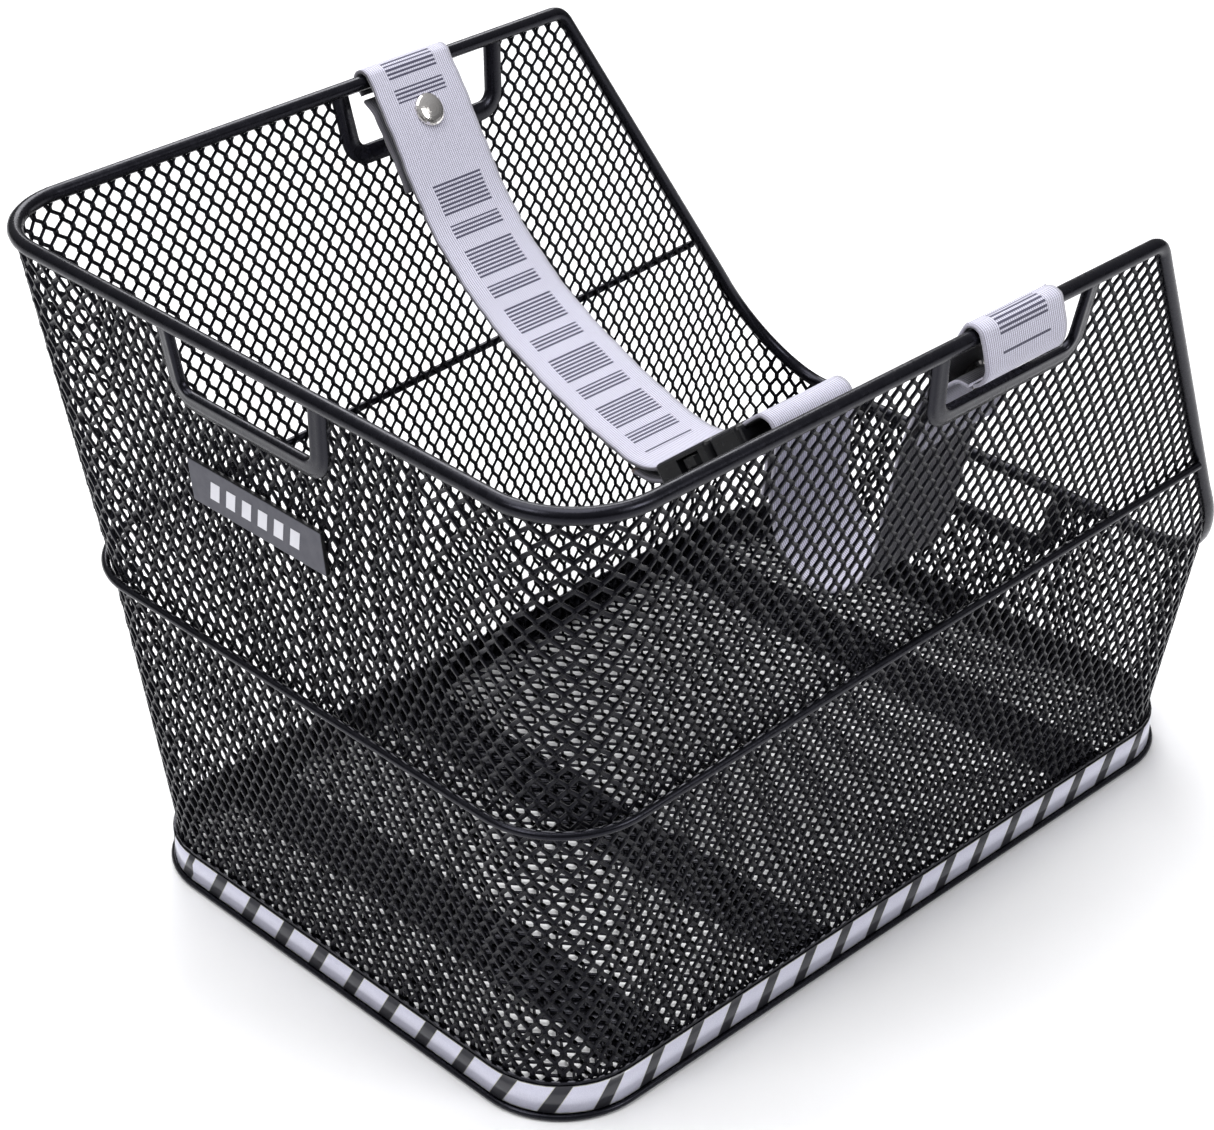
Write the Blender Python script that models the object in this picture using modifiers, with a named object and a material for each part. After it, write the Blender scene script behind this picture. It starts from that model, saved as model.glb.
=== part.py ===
"""Expanded-metal cargo basket for a rear carrier, with a two-part webbing strap across its mouth.

Frame: metres, +Z up. The origin is the centre of the underside of the middle floor bar. +X runs along
the basket towards its lowered end wall, and the side walls face +Y (left) and -Y (right).
"""

import math

import bmesh
import bpy
from mathutils import Matrix, Vector

# ---- driving dimensions -------------------------------------------------------------------------------

GAP = 0.0003  # clearance between pieces that touch on the real basket

BASE_CENTRE_X = 0.045  # centre of the base along X, seen from the middle floor bar
BASE_HALF_X = 0.2150  # centre surface of the mesh at the base
BASE_HALF_Y = 0.1430
CORNER_RADIUS = 0.040

BEND_Z = 0.027  # the walls stand upright below this height, and flare above it
WIRE_Z = 0.163  # where the walls change their slope
RIM_Z = 0.325  # centre of the rim tube on the high part
LOW_RIM_Z = 0.097  # centre of the rim tube on the lowered end wall

BACK_SLOPES = (0.083, 0.098)  # outward travel for each metre of height, below and above WIRE_Z
SIDE_SLOPES = (0.110, 0.148)
FRONT_SLOPE = 0.143

RIM_RADIUS = 0.0035
SLOPE_TOP_X = BASE_CENTRE_X + 0.0985  # where the rim starts its descent to the lowered end
RIM_BEND_RADIUS = 0.010

MESH_THICKNESS = 0.0012
TOP_CLEARANCE = RIM_RADIUS + 0.0004  # from the rim's centre line down to the mesh edge
WALL_BOTTOM_Z = 0.0045
MIDDLE_WIRE_RADIUS = 0.0020
MIDDLE_WIRE_Z = 0.1642  # its centre at the back wall
MIDDLE_WIRE_RISE = 0.038  # the middle wire climbs this much for each metre towards the lowered end

BASE_WIRE_RADIUS = 0.0015
BAND_THICKNESS = 0.0008
BAND_HEIGHT = 0.020
TAPE_THICKNESS = 0.00025
TAPE_HEIGHT = 0.0140
TAPE_BOTTOM_Z = 0.0035

FLOOR_BOTTOM_Z = 0.0018
FLOOR_THICKNESS = 0.0015
FLOOR_BAR_X = (-0.101, 0.0, 0.201)
FLOOR_BAR_WIDTH = 0.032
FLOOR_BAR_THICKNESS = 0.0015

HANDLE_TOP_WIDTH = 0.088  # clear opening
HANDLE_BOTTOM_WIDTH = 0.081
HANDLE_BOTTOM_Z = 0.2955
HANDLE_STRIP = 0.0060
HANDLE_THICKNESS = 0.0030
HANDLE_CORNER = 0.006
HANDLE_BACK_Y = 0.005
HANDLE_SIDE_X = BASE_CENTRE_X + 0.005
HANDLE_FRONT_Y = -0.004
HANDLE_FRONT_Z = 0.0685  # bottom of the opening under the lowered rim

BADGE_SIZE = (0.085, 0.021, 0.0012)
BADGE_Y = 0.0065
BADGE_Z = 0.253
BADGE_PIN_SPACING = 0.050
BADGE_PIN_RADIUS = 0.0015
RETAINER_SIZE = (0.062, 0.010, 0.0012)

STRAP_WIDTH = 0.050
STRAP_THICKNESS = 0.0016
STRAP_X = BASE_CENTRE_X - 0.0035
STRAP_DRIFT = 0.0045  # the right strap lands this much nearer the lowered end

BUCKLE_ORIGIN = (-0.021, 0.199)  # y and z of the socket's webbing bar end
BUCKLE_TILT = math.radians(40)
BUCKLE_WIDTH = 0.0635
BUCKLE_THICKNESS = 0.012
SOCKET_LENGTH = 0.040
PLUG_END = 0.062
BAR_HALF = 0.0018

LEFT_STUD = (0.1650, 0.3090)  # y and z
LEFT_RUN = (0.545, 0.838)  # direction of the webbing at the stud, up towards the rim
RIGHT_STUD = (-0.1620, 0.2950)
RIGHT_RUN = (-0.400, 0.9165)
STUD_OFFSET = 0.0064  # between the two webbing layers at a press stud
MOST_TURN = math.radians(16)  # between neighbouring points of a webbing run

# ---- scene helpers ------------------------------------------------------------------------------------

for leftover in list(bpy.data.objects):
    bpy.data.objects.remove(leftover, do_unlink=True)

parts = bpy.data.collections.new("cargo_basket")
cutters = bpy.data.collections.new("cutters")
bpy.context.scene.collection.children.link(parts)
bpy.context.scene.collection.children.link(cutters)


def make_material(name, colour, roughness, metallic):
    material = bpy.data.materials.new(name)
    material.use_nodes = True
    shader = material.node_tree.nodes["Principled BSDF"]
    shader.inputs["Base Color"].default_value = (*colour, 1.0)
    shader.inputs["Roughness"].default_value = roughness
    shader.inputs["Metallic"].default_value = metallic
    material.diffuse_color = (*colour, 1.0)
    return material


BLACK_COAT = make_material("black_powder_coat", (0.012, 0.012, 0.014), 0.38, 0.0)
TAPE_FILM = make_material("reflective_film", (0.78, 0.78, 0.88), 0.45, 0.0)
BADGE_GREY = make_material("badge_grey", (0.07, 0.07, 0.08), 0.5, 0.0)
BLACK_PLASTIC = make_material("black_acetal", (0.015, 0.015, 0.017), 0.45, 0.0)
WEBBING = make_material("silver_webbing", (0.62, 0.62, 0.68), 0.8, 0.0)
NICKEL = make_material("nickel_plate", (0.75, 0.73, 0.70), 0.22, 1.0)


def add_object(name, data, material, collection=parts):
    made = bpy.data.objects.new(name, data)
    collection.objects.link(made)
    if material is not None:
        made.data.materials.append(material)
    return made


def mesh_object(name, points, faces, material, collection=parts):
    mesh = bpy.data.meshes.new(name)
    mesh.from_pydata([tuple(point) for point in points], [], faces)
    shaped = bmesh.new()
    shaped.from_mesh(mesh)
    bmesh.ops.remove_doubles(shaped, verts=shaped.verts, dist=0.00002)
    bmesh.ops.dissolve_degenerate(shaped, edges=shaped.edges, dist=0.00002)
    bmesh.ops.recalc_face_normals(shaped, faces=shaped.faces)
    shaped.to_mesh(mesh)
    shaped.free()
    return add_object(name, mesh, material, collection)


def grid_object(name, columns, material, thickness, closed=False):
    """A sheet whose columns are equally long lists of points, given its thickness by Solidify."""
    rows = len(columns[0])
    count = len(columns)
    faces = []
    for i in range(count if closed else count - 1):
        left = i * rows
        right = (i + 1) % count * rows
        for j in range(rows - 1):
            faces.append((left + j, right + j, right + j + 1, left + j + 1))
    made = mesh_object(name, [point for column in columns for point in column], faces, material)
    solidify(made, thickness)
    return made


def solidify(made, thickness):
    modifier = made.modifiers.new("thickness", "SOLIDIFY")
    modifier.thickness = thickness
    modifier.offset = 0.0
    modifier.use_even_offset = True


def bevel(made, width, segments=2):
    modifier = made.modifiers.new("soft_edges", "BEVEL")
    modifier.width = width
    modifier.segments = segments
    modifier.limit_method = "ANGLE"
    modifier.angle_limit = math.radians(35)


def wire_object(name, points, radius, material, closed=False, sides=2):
    curve = bpy.data.curves.new(name, "CURVE")
    curve.dimensions = "3D"
    curve.bevel_depth = radius
    curve.bevel_resolution = sides
    curve.use_fill_caps = not closed
    spline = curve.splines.new("POLY")
    spline.points.add(len(points) - 1)
    for slot, point in zip(spline.points, points):
        slot.co = (*point, 1.0)
    spline.use_cyclic_u = closed
    return add_object(name, curve, material)


def flat_outline(name, outline, thickness, material, placement):
    """A closed 2D outline extruded to a plate, then placed by a matrix."""
    curve = bpy.data.curves.new(name, "CURVE")
    curve.dimensions = "2D"
    curve.fill_mode = "BOTH"
    curve.extrude = thickness / 2
    spline = curve.splines.new("POLY")
    spline.points.add(len(outline) - 1)
    for slot, point in zip(spline.points, outline):
        slot.co = (point[0], point[1], 0.0, 1.0)
    spline.use_cyclic_u = True
    made = add_object(name, curve, material)
    made.matrix_world = placement
    return made


def box_object(name, low, high, material, collection=parts):
    """An axis-aligned box in its own frame."""
    shaped = bmesh.new()
    bmesh.ops.create_cube(shaped, size=1.0)
    middle = [(a + b) / 2 for a, b in zip(low, high)]
    size = [b - a for a, b in zip(low, high)]
    for vertex in shaped.verts:
        vertex.co = [m + s * c for m, s, c in zip(middle, size, vertex.co)]
    mesh = bpy.data.meshes.new(name)
    shaped.to_mesh(mesh)
    shaped.free()
    return add_object(name, mesh, material, collection)


def turned_object(name, profile, material, steps=24):
    """A solid of revolution about its own Z; the profile runs from top to bottom on the +X side."""
    mesh = bpy.data.meshes.new(name)
    mesh.from_pydata([(x, 0.0, z) for x, z in profile], [(i, i + 1) for i in range(len(profile) - 1)], [])
    made = add_object(name, mesh, material)
    screw = made.modifiers.new("turn", "SCREW")
    screw.steps = steps
    screw.render_steps = steps
    screw.use_merge_vertices = True
    screw.merge_threshold = 0.00001
    screw.use_smooth_shade = True
    return made


def cutter_box(name, low, high):
    made = box_object(name, low, high, None, cutters)
    hide(made)
    return made


def cutter_rod(name, start, end, radius):
    """A rod between two points, used to drill a hole."""
    start = Vector(start)
    end = Vector(end)
    shaped = bmesh.new()
    bmesh.ops.create_cone(
        shaped, cap_ends=True, segments=20, radius1=radius, radius2=radius, depth=(end - start).length
    )
    turn = (end - start).to_track_quat("Z", "Y").to_matrix().to_4x4()
    shaped.transform(Matrix.Translation((start + end) / 2) @ turn)
    mesh = bpy.data.meshes.new(name)
    shaped.to_mesh(mesh)
    shaped.free()
    made = add_object(name, mesh, None, cutters)
    hide(made)
    return made


def hide(made):
    made.hide_render = True
    made.display_type = "WIRE"


def cut(made, cutter, operation="DIFFERENCE"):
    modifier = made.modifiers.new(cutter.name, "BOOLEAN")
    modifier.operation = operation
    modifier.solver = "EXACT"
    modifier.object = cutter


# ---- the flared shell ---------------------------------------------------------------------------------


def travel(z, slopes):
    """Outward travel of a wall between the base and height z."""
    lower = min(max(z - BEND_Z, 0.0), WIRE_Z - BEND_Z)
    upper = max(z - WIRE_Z, 0.0)
    return lower * slopes[0] + upper * slopes[1]


def back_x(z):
    return BASE_CENTRE_X - BASE_HALF_X - travel(z, BACK_SLOPES)


def front_x(z):
    return BASE_CENTRE_X + BASE_HALF_X + travel(z, (FRONT_SLOPE, FRONT_SLOPE))


def side_y(z):
    return BASE_HALF_Y + travel(z, SIDE_SLOPES)


LOW_RIM_X = front_x(LOW_RIM_Z)
DESCENT = (RIM_Z - LOW_RIM_Z) / (LOW_RIM_X - SLOPE_TOP_X)  # fall of the rim for each metre along X


def back_corner(angle, side, z, outset=0.0):
    """Point on a back corner; angle 0 touches the back wall and 90 degrees touches the side wall."""
    radius = CORNER_RADIUS + outset
    x = back_x(z) + CORNER_RADIUS - radius * math.cos(angle)
    y = side_y(z) - CORNER_RADIUS + radius * math.sin(angle)
    return (x, side * y, z)


def front_corner(angle, side, z, outset=0.0):
    """Point on a front corner; angle 0 touches the side wall and 90 degrees touches the front wall."""
    radius = CORNER_RADIUS + outset
    x = front_x(z) - CORNER_RADIUS + radius * math.sin(angle)
    y = side_y(z) - CORNER_RADIUS + radius * math.cos(angle)
    return (x, side * y, z)


def rim_height(x_at, drop=0.0):
    """Height at which the rim's slanting plane, lowered by drop, meets the column whose x is x_at(z)."""
    low, high = 0.0, RIM_Z
    for _ in range(40):
        z = (low + high) / 2
        if RIM_Z - drop - DESCENT * (x_at(z) - SLOPE_TOP_X) > z:
            low = z
        else:
            high = z
    return (low + high) / 2


def ring(z, outset=0.0, steps=8):
    """The closed outline of the shell at height z, moved outward by outset."""
    half = math.pi / 2
    points = [back_corner(half * i / steps, 1, z, outset) for i in range(steps + 1)]
    points += [front_corner(half * i / steps, 1, z, outset) for i in range(steps + 1)]
    points += [front_corner(half * i / steps, -1, z, outset) for i in reversed(range(steps + 1))]
    points += [back_corner(half * i / steps, -1, z, outset) for i in reversed(range(steps + 1))]
    return points


def rows_up_to(top):
    """Heights of a wall column: its ends and the bends of the shell between them."""
    return [WALL_BOTTOM_Z] + [min(z, top) for z in (BEND_Z, LOW_RIM_Z - 0.02, WIRE_Z)] + [top]


# ---- rim, wires and base ------------------------------------------------------------------------------


def rounded_bend(before, corner, after, radius, steps=6):
    """Arc points that replace a corner of a polyline."""
    before, corner, after = Vector(before), Vector(corner), Vector(after)
    first = (before - corner).normalized()
    second = (after - corner).normalized()
    half = first.angle(second) / 2
    centre = corner + (first + second).normalized() * radius / math.sin(half)
    start = corner + first * radius / math.tan(half) - centre
    end = corner + second * radius / math.tan(half) - centre
    sweep = start.angle(end)
    points = []
    for i in range(steps + 1):
        share = i / steps
        weight = math.sin((1 - share) * sweep) / math.sin(sweep)
        points.append(tuple(centre + start * weight + end * math.sin(share * sweep) / math.sin(sweep)))
    return points


def half_rim(side):
    """Rim centre line from the middle of the back wall round to the middle of the lowered wall."""
    half = math.pi / 2
    points = [back_corner(half * i / 8, side, RIM_Z) for i in range(9)]
    kink_x = SLOPE_TOP_X + (RIM_Z - WIRE_Z) / DESCENT
    kink = (kink_x, side * side_y(WIRE_Z), WIRE_Z)
    top = (SLOPE_TOP_X, side * side_y(RIM_Z), RIM_Z)
    points += rounded_bend(points[-1], top, kink, RIM_BEND_RADIUS)
    points.append(kink)
    for i in range(1, 11):
        angle = half * i / 10
        z = rim_height(lambda height: front_corner(angle, side, height)[0])
        points.append(front_corner(angle, side, z))
    return points


def build_rim():
    left = half_rim(1)
    right = half_rim(-1)
    made = wire_object("rim_tube", left + right[::-1], RIM_RADIUS, BLACK_COAT, closed=True)
    smooth_curve(made)


def smooth_curve(made):
    for spline in made.data.splines:
        spline.use_smooth = True


def middle_wire_z(x):
    return MIDDLE_WIRE_Z + MIDDLE_WIRE_RISE * (x - back_x(WIRE_Z))


def build_middle_wire():
    """Runs outside the mesh from one slanting rim, round the back, to the other."""
    outset = MESH_THICKNESS / 2 + GAP + MIDDLE_WIRE_RADIUS
    half = math.pi / 2
    end_z = middle_wire_z(SLOPE_TOP_X + (RIM_Z - WIRE_Z) / DESCENT)
    end_x = SLOPE_TOP_X + (RIM_Z - end_z) / DESCENT - 0.005
    right = [(end_x, -side_y(end_z) - outset, end_z)]
    for i in reversed(range(9)):
        x = back_corner(half * i / 8, -1, WIRE_Z, outset)[0]
        right.append(back_corner(half * i / 8, -1, middle_wire_z(x), outset))
    left = [(x, -y, z) for x, y, z in reversed(right)]
    made = wire_object("middle_wire", right + left, MIDDLE_WIRE_RADIUS, BLACK_COAT)
    smooth_curve(made)


def build_base():
    inner = MESH_THICKNESS / 2 + GAP
    band = inner + BAND_THICKNESS / 2
    tape = inner + BAND_THICKNESS + GAP + TAPE_THICKNESS / 2
    wire = inner + BAND_THICKNESS + GAP + BASE_WIRE_RADIUS
    columns = list(zip(ring(GAP, band), ring(BAND_HEIGHT, band)))
    grid_object("base_band", columns, BLACK_COAT, BAND_THICKNESS, closed=True)
    columns = list(zip(ring(TAPE_BOTTOM_Z, tape), ring(TAPE_BOTTOM_Z + TAPE_HEIGHT, tape)))
    grid_object("reflective_tape", columns, TAPE_FILM, TAPE_THICKNESS, closed=True)
    made = wire_object("base_wire", ring(BASE_WIRE_RADIUS, wire), BASE_WIRE_RADIUS, BLACK_COAT, closed=True)
    smooth_curve(made)


# ---- mesh panels --------------------------------------------------------------------------------------


def build_end_walls():
    top = RIM_Z - TOP_CLEARANCE
    columns = []
    for side in (-1, 1):
        column = []
        for z in rows_up_to(top):
            column.append((back_x(z), side * (side_y(z) - CORNER_RADIUS - GAP / 2), z))
        columns.append(column)
    back = grid_object("mesh_back_wall", columns, BLACK_COAT, MESH_THICKNESS)
    columns = []
    for side in (1, -1):
        column = []
        for z in (WALL_BOTTOM_Z, BEND_Z, LOW_RIM_Z - TOP_CLEARANCE):
            column.append((front_x(z), side * (side_y(z) - CORNER_RADIUS - GAP / 2), z))
        columns.append(column)
    front = grid_object("mesh_front_wall", columns, BLACK_COAT, MESH_THICKNESS)
    return back, front


def build_side_wall(name, side):
    columns = []
    start = back_x(WALL_BOTTOM_Z) + CORNER_RADIUS + 0.020
    stop = SLOPE_TOP_X + (RIM_Z - WIRE_Z) / DESCENT
    positions = [start + (stop - start) * i / 12 for i in range(13)] + [SLOPE_TOP_X]
    column = []
    for z in rows_up_to(RIM_Z - TOP_CLEARANCE):
        column.append((back_x(z) + CORNER_RADIUS + GAP / 2, side * side_y(z), z))
    columns.append(column)
    steep = TOP_CLEARANCE * math.hypot(1.0, DESCENT)
    for x in sorted(positions):
        top = min(RIM_Z - TOP_CLEARANCE, RIM_Z - steep - DESCENT * (x - SLOPE_TOP_X))
        columns.append([(x, side * side_y(z), z) for z in rows_up_to(top)])
    top = rim_height(lambda height: front_x(height) - CORNER_RADIUS, steep)
    column = [(front_x(z) - CORNER_RADIUS - GAP / 2, side * side_y(z), z) for z in rows_up_to(top)]
    columns = [made for made in columns if made[0][0] < column[0][0] - 0.004] + [column]
    return grid_object(name, columns, BLACK_COAT, MESH_THICKNESS)


def build_corners():
    edge = math.asin(GAP / 2 / CORNER_RADIUS)
    angles = [edge + (math.pi / 2 - 2 * edge) * i / 6 for i in range(7)]
    lean = 1 + DESCENT * FRONT_SLOPE
    for label, side in (("left", 1), ("right", -1)):
        columns = []
        for angle in angles:
            heights = rows_up_to(RIM_Z - TOP_CLEARANCE)
            columns.append([back_corner(angle, side, z) for z in heights])
        grid_object(f"mesh_back_{label}_corner", columns, BLACK_COAT, MESH_THICKNESS)
        columns = []
        for angle in angles:
            drop = TOP_CLEARANCE * math.hypot(lean, DESCENT * math.cos(angle))
            top = rim_height(lambda height: front_corner(angle, side, height)[0], drop)
            columns.append([front_corner(angle, side, z) for z in rows_up_to(top)])
        grid_object(f"mesh_front_{label}_corner", columns, BLACK_COAT, MESH_THICKNESS)


def build_floor():
    outline = [(x, y) for x, y, _ in ring(0.0, MESH_THICKNESS / 2 - GAP)]
    level = Matrix.Translation((0.0, 0.0, FLOOR_BOTTOM_Z + FLOOR_THICKNESS / 2))
    flat_outline("mesh_floor", outline, FLOOR_THICKNESS, BLACK_COAT, level)
    length = 2 * (BASE_HALF_Y + MESH_THICKNESS / 2 - GAP)
    for number, x in enumerate(FLOOR_BAR_X, 1):
        half = (FLOOR_BAR_WIDTH / 2, length / 2, FLOOR_BAR_THICKNESS / 2)
        bar = box_object(f"floor_bar_{number}", [-h for h in half], half, BLACK_COAT)
        bar.location = (x, 0.0, FLOOR_BAR_THICKNESS / 2)


# ---- handles and badge --------------------------------------------------------------------------------


def wall_placement(origin, along, up):
    """A frame whose X lies along a wall, Y runs up it and Z is its normal."""
    along = Vector(along).normalized()
    up = Vector(up).normalized()
    normal = along.cross(up)
    placement = Matrix((along, up, normal)).transposed().to_4x4()
    placement.translation = Vector(origin)
    return placement


def handle_outline(margin, top):
    """The handle opening grown by margin on its sides and bottom, as a closed outline."""
    spread = (HANDLE_TOP_WIDTH - HANDLE_BOTTOM_WIDTH) / 2 / (RIM_Z - HANDLE_BOTTOM_Z)
    half_bottom = HANDLE_BOTTOM_WIDTH / 2 + margin
    half_top = half_bottom + spread * (top + margin)
    radius = HANDLE_CORNER + margin
    corner = (half_bottom, -margin, 0.0)
    right = rounded_bend((0.0, -margin, 0.0), corner, (half_top, top, 0.0), radius, 4)
    right = [(x, y) for x, y, _ in right] + [(half_top, top)]
    return right + [(-x, y) for x, y in reversed(right)]


def build_handle(name, wall, placement, top):
    """The pressed U-shaped edge of a hand hole, and the hole in the wall that it stands in."""
    inner = handle_outline(0.0, top)
    outer = handle_outline(HANDLE_STRIP, top)
    half = len(inner) // 2
    outline = outer[:half] + inner[:half][::-1] + inner[half:][::-1] + outer[half:]
    made = flat_outline(name, outline, HANDLE_THICKNESS, BLACK_COAT, placement)
    wider = handle_outline(HANDLE_STRIP + GAP, top + 0.02)
    opening = flat_outline(f"{name}_hole", wider, 0.02, None, placement)
    cutter = to_mesh(opening)
    cutters.objects.link(cutter)
    parts.objects.unlink(cutter)
    hide(cutter)
    cut(wall, cutter)
    return made


def to_mesh(curve_object):
    """The same shape as a closed mesh, in place of the curve."""
    bpy.context.view_layer.update()
    graph = bpy.context.evaluated_depsgraph_get()
    mesh = bpy.data.meshes.new_from_object(curve_object.evaluated_get(graph))
    name = curve_object.name
    place = curve_object.matrix_world.copy()
    bpy.data.objects.remove(curve_object, do_unlink=True)
    shaped = bmesh.new()
    shaped.from_mesh(mesh)
    bmesh.ops.remove_doubles(shaped, verts=shaped.verts, dist=0.00001)
    bmesh.ops.recalc_face_normals(shaped, faces=shaped.faces)
    shaped.to_mesh(mesh)
    shaped.free()
    made = add_object(name, mesh, None)
    made.matrix_world = place
    return made


def build_handles(back, front, left, right):
    """Each hand hole lies in the upper part of its wall, open towards the rim."""
    rise = HANDLE_BOTTOM_Z
    top = (RIM_Z - RIM_RADIUS - 0.0004 - rise) - 0.0002
    slope = BACK_SLOPES[1]
    place = wall_placement((back_x(rise), HANDLE_BACK_Y, rise), (0, -1, 0), (-slope, 0, 1))
    build_handle("back_handle_frame", back, place, top)
    slope = SIDE_SLOPES[1]
    place = wall_placement((HANDLE_SIDE_X, side_y(rise), rise), (-1, 0, 0), (0, slope, 1))
    build_handle("left_handle_frame", left, place, top)
    place = wall_placement((HANDLE_SIDE_X, -side_y(rise), rise), (1, 0, 0), (0, -slope, 1))
    build_handle("right_handle_frame", right, place, top)
    rise = HANDLE_FRONT_Z
    top = (LOW_RIM_Z - RIM_RADIUS - 0.0004 - rise) - 0.0002
    place = wall_placement((front_x(rise), HANDLE_FRONT_Y, rise), (0, 1, 0), (FRONT_SLOPE, 0, 1))
    build_handle("front_handle_frame", front, place, top)


def build_badge(back):
    """A plate outside the back wall, pinned through the mesh to a retainer strip inside."""
    slope = BACK_SLOPES[1]
    place = wall_placement((back_x(BADGE_Z), BADGE_Y, BADGE_Z), (0, -1, 0), (-slope, 0, 1))
    near = MESH_THICKNESS / 2 + GAP
    width, height, thick = BADGE_SIZE
    corner = (width / 2, height / 2, near + thick)
    plate = box_object("badge_plate", (-width / 2, -height / 2, near), corner, BADGE_GREY)
    plate.matrix_world = place
    bevel(plate, 0.0004)
    width, height, thick = RETAINER_SIZE
    corner = (-width / 2, -height / 2, -near - thick)
    strip = box_object("badge_retainer", corner, (width / 2, height / 2, -near), BLACK_PLASTIC)
    strip.matrix_world = place
    for number, side in enumerate((-1, 1), 1):
        x = side * BADGE_PIN_SPACING / 2
        start = (x, 0, -near - thick / 2)
        pin = cutter_rod(f"badge_pin_{number}", start, (x, 0, near - GAP / 2), BADGE_PIN_RADIUS)
        pin.matrix_world = place
        cut(strip, pin, "UNION")
        hole = cutter_rod(f"badge_pin_hole_{number}", (x, 0, -0.004), (x, 0, 0.004), BADGE_PIN_RADIUS + GAP)
        hole.matrix_world = place
        cut(back, hole)


# ---- webbing ------------------------------------------------------------------------------------------


def smooth_route(points, step):
    """Points along a Catmull-Rom curve in the YZ plane, every step and closer where it bends."""
    padded = [points[0]] + list(points) + [points[-1]]
    dense = []
    for i in range(1, len(padded) - 2):
        p0, p1, p2, p3 = (Vector(p) for p in padded[i - 1 : i + 3])
        for k in range(16):
            t = k / 16
            spot = 2 * p1 + (p2 - p0) * t + (2 * p0 - 5 * p1 + 4 * p2 - p3) * t * t
            dense.append((spot + (3 * p1 - p0 - 3 * p2 + p3) * t**3) / 2)
    dense.append(Vector(points[-1]))
    route = [dense[0]]
    run = 0.0
    turn = 0.0
    for before, spot, after in zip(dense, dense[1:], dense[2:]):
        run += (spot - before).length
        if (spot - before).length > 0 and (after - spot).length > 0:
            turn += (spot - before).angle(after - spot)
        if run >= step or turn >= MOST_TURN:
            route.append(spot)
            run = 0.0
            turn = 0.0
    if (route[-1] - dense[-1]).length < step / 2:
        route.pop()
    return route + [dense[-1]]


def webbing(name, points, step=0.008, drift=(0.0, 0.0)):
    """A flat strap along (y, z) points; drift is its sideways shift at each end."""
    route = smooth_route(points, step)
    columns = []
    for spot in route:
        share = min(max((spot[0] - route[0][0]) / (route[-1][0] - route[0][0]), 0.0), 1.0)
        x = STRAP_X + drift[0] + (drift[1] - drift[0]) * share * share * (3 - 2 * share)
        columns.append([(x - STRAP_WIDTH / 2, spot[0], spot[1]), (x + STRAP_WIDTH / 2, spot[0], spot[1])])
    return grid_object(name, columns, WEBBING, STRAP_THICKNESS)


def buckle_point(along, above):
    """World (y, z) of a point given along the buckle's axis and above its middle plane."""
    y = BUCKLE_ORIGIN[0] - along * math.cos(BUCKLE_TILT) + above * math.sin(BUCKLE_TILT)
    z = BUCKLE_ORIGIN[1] + along * math.sin(BUCKLE_TILT) + above * math.cos(BUCKLE_TILT)
    return (y, z)


def bar_wrap(centre, towards, radius=0.0040):
    """Webbing round a buckle bar: from below it, through the slot, to above it."""
    angles = [math.radians(a) for a in (-90, -45, 0, 45, 90)]
    return [buckle_point(centre + towards * radius * math.cos(a), radius * math.sin(a)) for a in angles]


RIM_Y = side_y(RIM_Z)
LOOP_RADIUS = RIM_RADIUS + 0.0009 + STRAP_THICKNESS / 2


def rim_arc(side, first, last, steps=6):
    """Webbing over the rim, by angle from the inside (0) over the top (90) to the outside (180)."""
    points = []
    for i in range(steps + 1):
        angle = math.radians(first + (last - first) * i / steps)
        points.append((side * (RIM_Y - LOOP_RADIUS * math.cos(angle)), RIM_Z + LOOP_RADIUS * math.sin(angle)))
    return points


def behind(stud, run, side, along, offset=STUD_OFFSET):
    """A point on the tail layer, offset behind the run towards the wall and along it from the stud."""
    y = stud[0] + run[0] * along + side * run[1] * offset
    z = stud[1] + run[1] * along - side * run[0] * offset
    return (y, z)


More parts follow.
